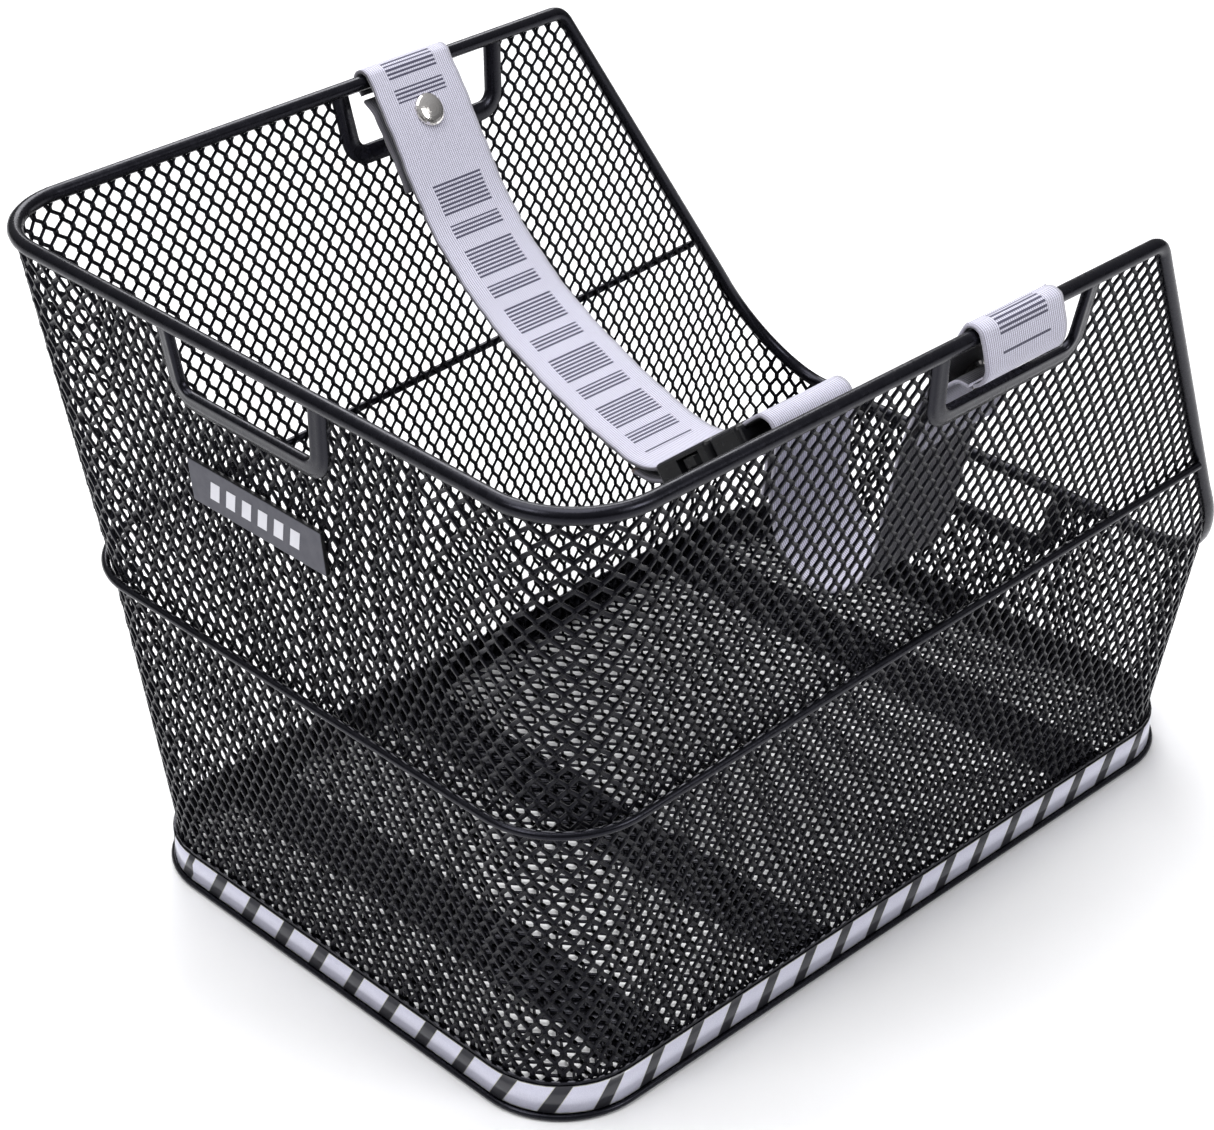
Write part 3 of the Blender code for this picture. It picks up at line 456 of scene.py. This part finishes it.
def has_mesh(points):
    """True where the walls are meshed: below the rim, and outside the hand holes."""
    x, y, z = points.T
    hole = (x < back_x(RIM_Z) + CORNER_RADIUS) & in_hand_hole(y - HANDLE_BACK_Y, z)
    hole |= (np.abs(y) > side_y(HANDLE_BOTTOM_Z) - CORNER_RADIUS) & in_hand_hole(x - HANDLE_SIDE_X, z)
    lowered = z + HANDLE_BOTTOM_Z - HANDLE_FRONT_Z
    hole |= (x > front_x(0)) & in_hand_hole(y - HANDLE_FRONT_Y, lowered)
    return (z < rim_top(x) - RIM_RADIUS * 0.5) & ~hole


def clipped(start, end, kept, steps=10):
    """Moves end back to the last kept place of each strand."""
    low = np.zeros(len(start))
    high = np.ones(len(start))
    for _ in range(steps):
        middle = (low + high) / 2
        good = kept(start + (end - start) * middle[:, None])
        low = np.where(good, middle, low)
        high = np.where(good, high, middle)
    return start + (end - start) * low[:, None]


def trimmed(start, end, kept):
    """The strands that are at least partly kept, cut back to where they meet the frame."""
    first, last = kept(start), kept(end)
    end = np.where(last[:, None], end, clipped(start, end, kept))
    start = np.where(first[:, None], start, clipped(end, start, kept))
    some = (first | last) & (np.linalg.norm(end - start, axis=1) > SHORTEST_STRAND)
    return start[some], end[some], some


def normals_at(place, column, row):
    step = 0.05
    across = place(column + step, row) - place(column - step, row)
    up = place(column, row + step) - place(column, row - step)
    normal = np.cross(up, across)
    return normal / np.linalg.norm(normal, axis=-1, keepdims=True)


def strand_mesh(name, start, end, sideways, normal, lean, slim):
    """Bars from start to end that leave and reach each knuckle upright.

    They are as deep as the sheet along normal + lean, and slim scales their width.
    """
    along = end - start
    deep = normal + lean
    wide = np.cross(deep, along)
    wide /= np.linalg.norm(wide, axis=1, keepdims=True)
    rings = []
    for share, half, shift in (
        (0.0, KNUCKLE_WIDTH / 2, 0.0),
        (KNUCKLE_SHARE, STRAND_WIDTH / 2, -KNUCKLE_SHARE * KNUCKLE_PULL),
        (1 - KNUCKLE_SHARE, STRAND_WIDTH / 2, KNUCKLE_SHARE * KNUCKLE_PULL),
        (1.0, KNUCKLE_WIDTH / 2, 0.0),
    ):
        centre = start + along * share + sideways * shift
        for a, b in ((-1, -1), (1, -1), (1, 1), (-1, 1)):
            rings.append(centre + wide * half * slim * a + deep * STRAND_DEPTH / 2 * b)
    points = np.stack(rings, axis=1)
    size = points.shape[1]
    faces = []
    for ring in range(3):
        for k in range(4):
            low, high = ring * 4 + k, ring * 4 + (k + 1) % 4
            faces.append((low, high, high + 4, low + 4))
    faces = np.array(faces)[None] + np.arange(len(points))[:, None, None] * size
    return numpy_mesh(name, points.reshape(-1, 3), faces.reshape(-1, 4))


def lattice(first, last, rows):
    """Lower and upper ends, in columns and rows, of each strand between columns first and last."""
    row, column = np.meshgrid(np.arange(rows), np.arange(first, last + 1), indexing="ij")
    foot = (column + 0.5 * (row % 2)).ravel()
    low = row.ravel().astype(float)
    strands = []
    for turn in (0.5, -0.5):
        middle = foot + turn / 2
        inside = (middle > first) & (middle < last)
        strands.append((foot[inside], low[inside], foot[inside] + turn))
    return strands


def expanded_panel(name, place, first, last, rows, kept, lean, nodes, slim=1.0):
    starts, ends, shifts, normals = [], [], [], []
    for foot, low, top in lattice(first, last, rows):
        start, end, some = trimmed(place(foot, low), place(top, low + 1), kept)
        starts.append(start)
        ends.append(end)
        middle = low[some] + 0.5
        shift = place(top[some], middle) - place(foot[some], middle)
        whole = kept(place(foot, low)[some]) & kept(place(top, low + 1)[some])
        shifts.append(shift * whole[:, None])
        normals.append(normals_at(place, (foot + top)[some] / 2, low[some] + 0.5))
    normal = np.concatenate(normals)
    shift = np.concatenate(shifts)
    start, end = np.concatenate(starts), np.concatenate(ends)
    mesh = strand_mesh(name, start, end, shift, normal, np.array(lean), slim)
    return new_object(name, mesh, [MESH_COAT], "basket", nodes)


SPLIT_BACK = int(EDGES[1] + COLUMNS[1] // 2)
SPLIT_FRONT = int(EDGES[3] + COLUMNS[3] // 2)


def build_mesh_walls():
    nodes = ("mesh_back_wall", "mesh_back_left_corner", "mesh_back_right_corner")
    expanded_panel("expanded_back", wall_point, -SPLIT_BACK, SPLIT_BACK, ROWS, has_mesh, UPRIGHT, nodes)
    nodes = ("mesh_left_wall",)
    expanded_panel("expanded_left", wall_point, SPLIT_BACK, SPLIT_FRONT, ROWS, has_mesh, LEFT_LEAN, nodes)
    nodes = ("mesh_right_wall",)
    expanded_panel("expanded_right", wall_point, -SPLIT_FRONT, -SPLIT_BACK, ROWS, has_mesh, UPRIGHT, nodes)


def front_point(column, row):
    """As wall_point, counted from the middle of the front wall."""
    turned = np.where(column < 0, -HALF - column, HALF - column)
    return wall_point(np.where(turned == 0, 1e-9, turned), row)


def build_front_and_floor():
    reach = HALF - SPLIT_FRONT
    nodes = ("mesh_front_wall", "mesh_front_left_corner", "mesh_front_right_corner")
    expanded_panel("expanded_front", front_point, -reach, reach, ROWS, has_mesh, UPRIGHT, nodes)
    columns = int(BASE_HALF_X / FLOOR_PITCH[0]) + 1
    rows = int(BASE_HALF_Y / FLOOR_PITCH[1]) + 1

    def from_middle(column, row):
        return floor_point(column, row - rows)

    nodes = ("mesh_floor",)
    span = (-columns, columns, 2 * rows)
    expanded_panel("expanded_floor", from_middle, *span, over_floor, UPRIGHT, nodes, FLOOR_SLIM)


# ---- rim and wires --------------------------------------------------------------------------------------


def back_corner(angle, side, z, outset=0.0):
    radius = CORNER_RADIUS + outset
    x = back_x(z) + CORNER_RADIUS - radius * math.cos(angle)
    return (x, side * (side_y(z) - CORNER_RADIUS + radius * math.sin(angle)), z)


def front_corner(angle, side, z, outset=0.0):
    radius = CORNER_RADIUS + outset
    x = front_x(z) - CORNER_RADIUS + radius * math.sin(angle)
    return (x, side * (side_y(z) - CORNER_RADIUS + radius * math.cos(angle)), z)


def rim_height(x_at):
    """Where the rim's falling centre line meets a wall whose x at each height is x_at."""
    low, high = 0.0, RIM_Z
    for _ in range(40):
        z = (low + high) / 2
        if RIM_Z - DESCENT * (x_at(z) - SLOPE_TOP_X) > z:
            low = z
        else:
            high = z
    return (low + high) / 2


def rounded_bend(before, corner, after, radius, steps):
    """Points of an arc that rounds off a corner."""
    before, corner, after = Vector(before), Vector(corner), Vector(after)
    first = (before - corner).normalized()
    second = (after - corner).normalized()
    half = first.angle(second) / 2
    centre = corner + (first + second).normalized() * radius / math.sin(half)
    start = corner + first * radius / math.tan(half) - centre
    end = corner + second * radius / math.tan(half) - centre
    sweep = start.angle(end)
    points = []
    for i in range(steps + 1):
        share = i / steps
        weight = math.sin((1 - share) * sweep) / math.sin(sweep)
        points.append(tuple(centre + start * weight + end * math.sin(share * sweep) / math.sin(sweep)))
    return points


def half_rim(side):
    half = math.pi / 2
    points = [back_corner(half * i / 20, side, RIM_Z) for i in range(21)]
    kink = (SLOPE_TOP_X + (RIM_Z - WIRE_Z) / DESCENT, side * side_y(WIRE_Z), WIRE_Z)
    top = (SLOPE_TOP_X, side * side_y(RIM_Z), RIM_Z)
    points += rounded_bend(points[-1], top, kink, RIM_BEND_RADIUS, 10)
    points.append(kink)
    for i in range(1, 25):
        angle = half * i / 24
        z = rim_height(lambda height: front_corner(angle, side, height)[0])
        points.append(front_corner(angle, side, z))
    return points


def wire(name, points, radius, closed, node):
    curve = bpy.data.curves.new(name, "CURVE")
    curve.dimensions = "3D"
    curve.bevel_depth = radius
    curve.bevel_resolution = 4
    curve.use_fill_caps = not closed
    spline = curve.splines.new("POLY")
    spline.points.add(len(points) - 1)
    for slot, point in zip(spline.points, points):
        slot.co = (*point, 1.0)
    spline.use_cyclic_u = closed
    spline.use_smooth = True
    return new_object(name, curve, [COAT], "basket", (node,))


def ring(z, outset, steps=16):
    half = math.pi / 2
    points = [back_corner(half * i / steps, 1, z, outset) for i in range(steps + 1)]
    points += [front_corner(half * i / steps, 1, z, outset) for i in range(steps + 1)]
    points += [front_corner(half * i / steps, -1, z, outset) for i in reversed(range(steps + 1))]
    points += [back_corner(half * i / steps, -1, z, outset) for i in reversed(range(steps + 1))]
    return points


def middle_wire_z(x):
    return MIDDLE_WIRE_Z + MIDDLE_WIRE_RISE * (x - back_x(WIRE_Z))


def build_wires():
    wire("rim", half_rim(1) + half_rim(-1)[::-1], RIM_RADIUS, True, "rim_tube")
    outset = WALL_SKIN + MIDDLE_WIRE_RADIUS
    end_z = middle_wire_z(SLOPE_TOP_X + (RIM_Z - WIRE_Z) / DESCENT)
    right = [(SLOPE_TOP_X + (RIM_Z - end_z) / DESCENT - WIRE_END_GAP, -side_y(end_z) - outset, end_z)]
    for i in reversed(range(19)):
        x = back_corner(math.pi / 2 * i / 18, -1, WIRE_Z, outset)[0]
        right.append(back_corner(math.pi / 2 * i / 18, -1, middle_wire_z(x), outset))
    left = [(x, -y, z) for x, y, z in reversed(right)]
    wire("waist_wire", right + left, MIDDLE_WIRE_RADIUS, False, "middle_wire")
    outset = WALL_SKIN + BAND_THICKNESS + BEAD_OUTSET
    wire("foot_bead", ring(BASE_WIRE_RADIUS, outset), BASE_WIRE_RADIUS, True, "base_wire")


def ribbon(name, columns, uvs, thickness, materials, body, replaces, closed=False):
    """A strip of quads with its UV map in metres. columns is (n, m, 3) and uvs is (n, m, 2)."""
    count, rows = columns.shape[:2]
    last = count if closed else count - 1
    quads, corners = [], []
    for i in range(last):
        j = (i + 1) % count
        for k in range(rows - 1):
            quads.append((i * rows + k, j * rows + k, j * rows + k + 1, i * rows + k + 1))
            corners += [uvs[i, k], uvs[i + 1, k], uvs[i + 1, k + 1], uvs[i, k + 1]]
    mesh = numpy_mesh(name, columns.reshape(-1, 3), np.array(quads))
    layer = mesh.uv_layers.new(name="metres")
    layer.data.foreach_set("uv", np.array(corners, np.float32).ravel())
    made = new_object(name, mesh, materials, body, replaces)
    solid = made.modifiers.new("thickness", "SOLIDIFY")
    solid.thickness = thickness
    solid.offset = 0.0
    solid.use_even_offset = True
    if len(materials) > 1:
        solid.material_offset = 1
        solid.material_offset_rim = 0
    return made


def build_tape():
    low = np.array(ring(TAPE_BOTTOM_Z, WALL_SKIN + BAND_THICKNESS + TAPE_OUTSET, 12))
    high = low + np.array([0, 0, TAPE_HEIGHT])
    steps = np.linalg.norm(np.roll(low, -1, axis=0) - low, axis=1)
    run = np.concatenate([[0.0], np.cumsum(steps)])
    columns = np.stack([low, high], axis=1)
    uvs = np.zeros((len(run), 2, 2))
    uvs[:, :, 0] = run[-1] - run[:, None]
    uvs[:, 1, 1] = TAPE_HEIGHT
    node = ("reflective_tape",)
    ribbon("tape_band", columns, uvs, TAPE_THICKNESS, [TAPE], "basket", node, closed=True)


# ---- hand holes and badge -------------------------------------------------------------------------------


def wall_placement(origin, along, up):
    along = Vector(along).normalized()
    up = Vector(up).normalized()
    columns = Matrix((along, up, along.cross(up))).transposed()
    return Matrix.Translation(origin) @ columns.to_4x4()


def handle_line(top):
    """Middle line of the pressed strip round a hand hole, across and up the wall."""
    half_bottom = HANDLE_HALF_BOTTOM + HANDLE_STRIP / 2
    drop = -HANDLE_STRIP / 2
    spread = (HANDLE_HALF_TOP - HANDLE_HALF_BOTTOM) / (RIM_Z - HANDLE_BOTTOM_Z)
    half_top = half_bottom + spread * (top - drop)
    radius = HANDLE_CORNER + HANDLE_STRIP / 2
    bend = rounded_bend((0, drop, 0), (half_bottom, drop, 0), (half_top, top, 0), radius, 10)
    right = [(x, y) for x, y, _ in bend]
    x, y = right[-1]
    right += [(x + (half_top - x) * i / 4, y + (top - y) * i / 4) for i in (1, 2, 3, 4)]
    return np.array([(-x, y) for x, y in reversed(right)] + right)


def pressed_strip(name, placement, top, node):
    """A channel-edged strip with rounded shoulders and a shallow groove along its outer face."""
    line = handle_line(top)
    tangent = np.gradient(line, axis=0)
    tangent /= np.linalg.norm(tangent, axis=1, keepdims=True)
    inward = np.stack([-tangent[:, 1], tangent[:, 0]], axis=1)
    points = []
    for across, out in STRIP_PROFILE:
        flat = line + inward * across
        points.append(np.column_stack([flat, np.full(len(flat), out)]))
    rings = np.stack(points, axis=1)
    count, size = rings.shape[:2]
    quads = []
    for i in range(count - 1):
        for k in range(size):
            j = (k + 1) % size
            quads.append((i * size + k, i * size + j, (i + 1) * size + j, (i + 1) * size + k))
    rotation = np.array(placement)[:3, :3]
    world = rings.reshape(-1, 3) @ rotation.T + np.array(placement)[:3, 3]
    new_object(name, numpy_mesh(name, world, np.array(quads)), [COAT], "basket", (node,))


STRIP_PROFILE = (
    (0.0034, -0.0012), (0.0036, 0.0000), (0.0035, 0.0016), (0.0030, 0.0024), (0.0022, 0.0026),
    (0.0012, 0.0023), (-0.0010, 0.0021), (-0.0024, 0.0020), (-0.0034, 0.0015), (-0.0040, 0.0010),
    (-0.0052, 0.0009), (-0.0056, 0.0004), (-0.0056, -0.0006), (-0.0050, -0.0012),
)  # across the strip, from the opening outwards, and out from the wall


def build_hand_holes():
    rise = HANDLE_BOTTOM_Z
    top = RIM_Z - RIM_RADIUS * HANDLE_TUCK - rise
    place = wall_placement((back_x(rise), HANDLE_BACK_Y, rise), (0, -1, 0), (-BACK_SLOPES[1], 0, 1))
    pressed_strip("back_hand_edge", place, top, "back_handle_frame")
    place = wall_placement((HANDLE_SIDE_X, side_y(rise), rise), (-1, 0, 0), (0, SIDE_SLOPES[1], 1))
    pressed_strip("left_hand_edge", place, top, "left_handle_frame")
    place = wall_placement((HANDLE_SIDE_X, -side_y(rise), rise), (1, 0, 0), (0, -SIDE_SLOPES[1], 1))
    pressed_strip("right_hand_edge", place, top, "right_handle_frame")
    rise = HANDLE_FRONT_Z
    top = LOW_RIM_Z - RIM_RADIUS * HANDLE_TUCK - rise
    place = wall_placement((front_x(rise), HANDLE_FRONT_Y, rise), (0, 1, 0), (FRONT_SLOPE, 0, 1))
    pressed_strip("front_hand_edge", place, top, "front_handle_frame")


def block(shaped, low, high, lean=0.0):
    """Adds a box to a bmesh; lean moves its upper end along its first axis."""
    for vert in bmesh.ops.create_cube(shaped, size=1.0)["verts"]:
        for axis in range(3):
            vert.co[axis] = low[axis] if vert.co[axis] < 0 else high[axis]
        vert.co.x += lean * (vert.co.y - low[1])


BADGE_SIZE = (0.085, 0.021)
BADGE_PLACE = (0.0065, 0.253)
BADGE_BACK = 0.0009
BADGE_FACE = 0.0031
BADGE_EDGE = 0.0005
BAR_COUNT = 6
BAR_START = -0.0300
BAR_PITCH = 0.0102
BAR_WIDTH = 0.0058
BAR_HALF_HEIGHT = 0.0045
BAR_LEAN = 0.25
BAR_SINK = 0.0001
BAR_PROUD = 0.00012


def build_badge():
    """A dark grey faced plate with black edges, printed with a row of plain slanted bars."""
    y, z = BADGE_PLACE
    place = wall_placement((back_x(z), y, z), (0, -1, 0), (-BACK_SLOPES[1], 0, 1))
    width, height = BADGE_SIZE
    shaped = bmesh.new()
    block(shaped, (-width / 2, -height / 2, BADGE_BACK), (width / 2, height / 2, BADGE_FACE))
    bmesh.ops.bevel(shaped, geom=shaped.edges[:], offset=BADGE_EDGE, segments=2, affect="EDGES", profile=0.6)
    for face in shaped.faces:
        face.material_index = 0 if face.normal.z > 0.9 else 1
    mesh = bpy.data.meshes.new("badge_body")
    shaped.transform(place)
    shaped.to_mesh(mesh)
    shaped.free()
    new_object("badge_body", mesh, [BADGE, PLASTIC], "basket", ("badge_plate",))
    shaped = bmesh.new()
    for i in range(BAR_COUNT):
        left = BAR_START + i * BAR_PITCH
        low = (left, -BAR_HALF_HEIGHT, BADGE_FACE - BAR_SINK)
        high = (left + BAR_WIDTH, BAR_HALF_HEIGHT, BADGE_FACE + BAR_PROUD)
        block(shaped, low, high, BAR_LEAN)
    mesh = bpy.data.meshes.new("badge_bars")
    shaped.transform(place)
    shaped.to_mesh(mesh)
    shaped.free()
    new_object("badge_bars", mesh, [PRINT], "basket", ())


# ---- webbing --------------------------------------------------------------------------------------------


def smooth_route(points, step=0.0012):
    """Evenly spaced points along a Catmull-Rom curve through (y, z) points."""
    padded = [points[0]] + list(points) + [points[-1]]
    dense = []
    for i in range(1, len(padded) - 2):
        p0, p1, p2, p3 = (np.array(p) for p in padded[i - 1 : i + 3])
        for k in range(24):
            t = k / 24
            spot = 2 * p1 + (p2 - p0) * t + (2 * p0 - 5 * p1 + 4 * p2 - p3) * t * t
            dense.append((spot + (3 * p1 - p0 - 3 * p2 + p3) * t**3) / 2)
    dense = np.array(dense + [np.array(points[-1])])
    run = np.concatenate([[0.0], np.cumsum(np.linalg.norm(np.diff(dense, axis=0), axis=1))])
    keep = np.linspace(0.0, run[-1], max(int(run[-1] / step), 8))
    return np.stack([np.interp(keep, run, dense[:, k]) for k in range(2)], axis=1), keep


ACROSS = 12
CROWN = 0.00025
BAR_WRAP_RADIUS = 0.0040


def strap(name, points, drift, body, replaces, start=0.0, faces=None, inked=()):
    """A webbing strap along (y, z) points. The first of its faces is on the right of its run.

    inked pairs points of the run; the dark pattern lies between the two of each pair.
    """
    route, run = smooth_route(points)
    share = np.clip((route[:, 0] - route[0, 0]) / (route[-1, 0] - route[0, 0]), 0.0, 1.0)
    centre = STRAP_X + drift[0] + (drift[1] - drift[0]) * share
    tangent = np.gradient(route, axis=0)
    tangent /= np.linalg.norm(tangent, axis=1, keepdims=True)
    normal = np.stack([-tangent[:, 1], tangent[:, 0]], axis=1)
    across = np.linspace(-1.0, 1.0, ACROSS + 1)
    wobble = 0.00018 * np.sin(run * 210.0) + 0.00012 * np.sin(run * 530.0 + 1.3)
    columns = np.zeros((len(route), ACROSS + 1, 3))
    columns[:, :, 0] = centre[:, None] + (STRAP_WIDTH / 2 + wobble[:, None]) * across[None]
    rise = CROWN * (1 - across**2)
    columns[:, :, 1:] = route[:, None] + normal[:, None] * rise[None, :, None]
    uvs = np.zeros((len(route), ACROSS + 1, 2))
    uvs[:, :, 0] = STRAP_WIDTH / 2 * across[None]
    uvs[:, :, 1] = start + run[:, None]
    faces = faces or [WEBBING, SHADED_WEBBING_BACK]
    made = ribbon(name, columns, uvs, STRAP_THICKNESS, faces, body, replaces)
    ink = np.zeros((len(route), ACROSS + 1), np.float32)
    for pair in inked:
        gaps = [np.linalg.norm(route - np.array(spot), axis=1) for spot in pair]
        first, last = sorted(int(np.argmin(gap)) for gap in gaps)
        ink[first : last + 1] = 1.0
    made.data.attributes.new("inked", "FLOAT", "POINT").data.foreach_set("value", ink.ravel())
    return made


def buckle_point(along, above):
    """(y, z) of a place along the tilted buckle and above its middle plane."""
    y = BUCKLE_ORIGIN[0] - along * math.cos(BUCKLE_TILT) + above * math.sin(BUCKLE_TILT)
    return (y, BUCKLE_ORIGIN[1] + along * math.sin(BUCKLE_TILT) + above * math.cos(BUCKLE_TILT))


def bar_wrap(centre, towards):
    """The half turn of webbing round a buckle's bar."""
    turns = [math.radians(a) for a in (-90, -45, 0, 45, 90)]
    radius = BAR_WRAP_RADIUS
    return [buckle_point(centre + towards * radius * math.cos(a), radius * math.sin(a)) for a in turns]


RIM_Y = float(side_y(RIM_Z))
LOOP_RADIUS = RIM_RADIUS + 0.0009 + STRAP_THICKNESS / 2
STUD_OFFSET = 0.0064
LEFT_STUD = (0.1650, 0.3090)
LEFT_RUN = (0.545, 0.838)
RIGHT_STUD = (-0.1620, 0.2950)
RIGHT_RUN = (-0.400, 0.9165)


def rim_arc(side, first, last, steps=6):
    """Webbing round the rim tube, from one angle to another in degrees."""
    points = []
    for i in range(steps + 1):
        angle = math.radians(first + (last - first) * i / steps)
        points.append((side * (RIM_Y - LOOP_RADIUS * math.cos(angle)), RIM_Z + LOOP_RADIUS * math.sin(angle)))
    return points


def behind(stud, run, side, along, offset=STUD_OFFSET):
    """(y, z) of a place along a strap's run past its press stud, offset behind the run."""
    y = stud[0] + run[0] * along + side * run[1] * offset
    return (y, stud[1] + run[1] * along - side * run[0] * offset)


def build_straps():
    hem = [(0.0030, 0.1905), (-0.0060, 0.1900), (-0.0140, 0.1917)]
    run = [(-0.0110, 0.1968), (0.0000, 0.1945), (0.0127, 0.1962), (0.0420, 0.2052), (0.0710, 0.2172)]
    run += [(0.0955, 0.2300), (0.1180, 0.2465), (0.1340, 0.2620), (0.1470, 0.2798), LEFT_STUD]
    loop = rim_arc(1, 32, 205) + [(0.1828, 0.3180)]
    turned = [SHADED_WEBBING_BACK, WEBBING]
    printed = [((0.0040, 0.1946), (0.1500, 0.2825)), ((0.1690, 0.3160), (RIM_Y, RIM_Z + LOOP_RADIUS))]
    route = hem + bar_wrap(0.0016, 1) + run + loop
    strap("left_webbing", route, (0, 0), "basket", ("left_strap",), 0.0, turned, printed)
    tail = [(0.1812, 0.3160)] + [behind(LEFT_STUD, LEFT_RUN, 1, along) for along in (0.0070, 0.0, -0.0080)]
    tail += [behind(LEFT_STUD, LEFT_RUN, 1, -0.0200, 0.0058), (0.1530, 0.2780)]
    end = strap("left_webbing_tail", tail, (0, 0), None, ("left_strap_tail",), 0.010, turned)
    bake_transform(end)

    hem = [(-0.0770, 0.2100), (-0.0784, 0.2220), (-0.0778, 0.2310)]
    arch = [buckle_point(0.0650, 0.0046), (-0.0745, 0.2495), (-0.0812, 0.2475), (-0.0838, 0.2390)]
    fall = [(-0.0826, 0.2240), (-0.0818, 0.2080), (-0.0862, 0.1930), (-0.0950, 0.1822), (-0.1070, 0.1775)]
    rise = [(-0.1205, 0.1808), (-0.1320, 0.1910), (-0.1390, 0.2070), (-0.1440, 0.2320), (-0.1505, 0.2640)]
    rise += [behind(RIGHT_STUD, RIGHT_RUN, -1, along, 0.0) for along in (-0.0090, 0.0, 0.0090)]
    loop = rim_arc(-1, 28, 150) + [(-0.1893, 0.3180), (-0.1898, 0.3120), (-0.1878, 0.3070), (-0.1840, 0.3045)]
    route = hem + bar_wrap(0.0598, -1) + arch + fall + rise + loop
    printed = [((-RIM_Y + 0.002, RIM_Z + LOOP_RADIUS), (-0.1893, 0.3180))]
    main = strap("right_webbing", route, (0, STRAP_DRIFT), None, ("right_strap",), 0.004, None, printed)
    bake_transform(main)
    tail = [(-0.1815, 0.3036), (-0.1760, 0.3035)]
    tail += [behind(RIGHT_STUD, RIGHT_RUN, -1, along) for along in (0.0070, 0.0, -0.0080)]
    tail.append(behind(RIGHT_STUD, RIGHT_RUN, -1, -0.0200, 0.0068))
    tail.append(behind(RIGHT_STUD, RIGHT_RUN, -1, -0.0310, 0.0082))
    end = strap("right_webbing_tail", tail, (STRAP_DRIFT, STRAP_DRIFT), None, ("right_strap_tail",), 0.020)
    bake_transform(end)


# ---- finishes of the carried-over CAD nodes -------------------------------------------------------------


def finish_cad_nodes():
    finishes = dict.fromkeys(("base_band", "floor_bar_1", "floor_bar_2", "floor_bar_3"), COAT)
    finishes.update(dict.fromkeys(("badge_retainer", *BUCKLE_PARTS), PLASTIC))
    for side in ("left", "right"):
        for piece in ("cap", "socket", "ball", "rivet"):
            finishes[f"{side}_stud_{piece}"] = NICKEL
    for name, material in finishes.items():
        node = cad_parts[name]
        if not node.material_slots:
            node.data.materials.append(material)
        for slot in node.material_slots:
            slot.material = material
    for name in BUCKLE_PARTS:
        soften(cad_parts[name], BUCKLE_EDGE)


def soften(node, width):
    """Rounds off a moulded part's edges."""
    welded = node.modifiers.new("welded", "WELD")
    welded.merge_threshold = 0.00002
    rounded = node.modifiers.new("soft_edges", "BEVEL")
    rounded.width = width
    rounded.segments = 3
    rounded.limit_method = "ANGLE"
    rounded.angle_limit = math.radians(35)
    for face in node.data.polygons:
        face.use_smooth = False


# ---- studio ---------------------------------------------------------------------------------------------


def build_studio():
    bpy.ops.mesh.primitive_plane_add(size=12.0, location=(0, 0, -0.0005))
    floor = bpy.context.object
    floor.name = "studio_floor"
    floor.data.materials.append(studio_floor("studio_floor"))
    world = bpy.data.worlds.new("studio")
    bpy.context.scene.world = world
    world.use_nodes = True
    tree = world.node_tree
    background = tree.nodes["Background"]
    height = tree.nodes.new("ShaderNodeSeparateXYZ")
    tree.links.new(tree.nodes.new("ShaderNodeTexCoord").outputs["Generated"], height.inputs[0])
    sky = tree.nodes.new("ShaderNodeMapRange")
    sky.inputs["To Min"].default_value = 0.10
    sky.inputs["To Max"].default_value = 0.55
    tree.links.new(height.outputs["Z"], sky.inputs["Value"])
    background.inputs["Color"].default_value = (0.97, 0.97, 1.0, 1.0)
    tree.links.new(sky.outputs[0], background.inputs["Strength"])
    lamps = (
        ("overhead", (-0.1, 0.3, 2.3), 1.8, 52.0),
        ("key", (-1.7, 0.1, 1.8), 0.8, 17.0),
        ("front", (0.6, -1.9, 1.5), 0.8, 18.0),
        ("back", (1.4, 1.7, 1.9), 1.2, 30.0),
    )
    for name, place, size, power in lamps:
        data = bpy.data.lights.new(name, "AREA")
        data.size = size
        data.energy = power
        lamp = bpy.data.objects.new(name, data)
        bpy.context.scene.collection.objects.link(lamp)
        lamp.location = place
        lamp.rotation_euler = (Vector((0.04, 0, 0.15)) - Vector(place)).to_track_quat("-Z", "Y").to_euler()
    bpy.context.scene.view_settings.view_transform = "Standard"


CAMERA_PLACE = Vector((-0.8165, -0.8332, 0.8730))
CAMERA_AZIMUTH = math.radians(44.348)
CAMERA_TILT = math.radians(31.840)
CAMERA_LENS = 89.17


def build_camera():
    data = bpy.data.cameras.new("camera")
    data.lens = CAMERA_LENS
    data.sensor_width = 36.0
    camera = bpy.data.objects.new("camera", data)
    bpy.context.scene.collection.objects.link(camera)
    level = math.cos(CAMERA_TILT)
    forward = Vector(
        (math.sin(CAMERA_AZIMUTH) * level, math.cos(CAMERA_AZIMUTH) * level, -math.sin(CAMERA_TILT))
    )
    camera.location = CAMERA_PLACE
    camera.rotation_euler = forward.to_track_quat("-Z", "Y").to_euler()
    bpy.context.scene.camera = camera


build_camera()
build_studio()
build_mesh_walls()
build_front_and_floor()
build_wires()
build_tape()
build_hand_holes()
build_badge()
build_straps()
finish_cad_nodes()
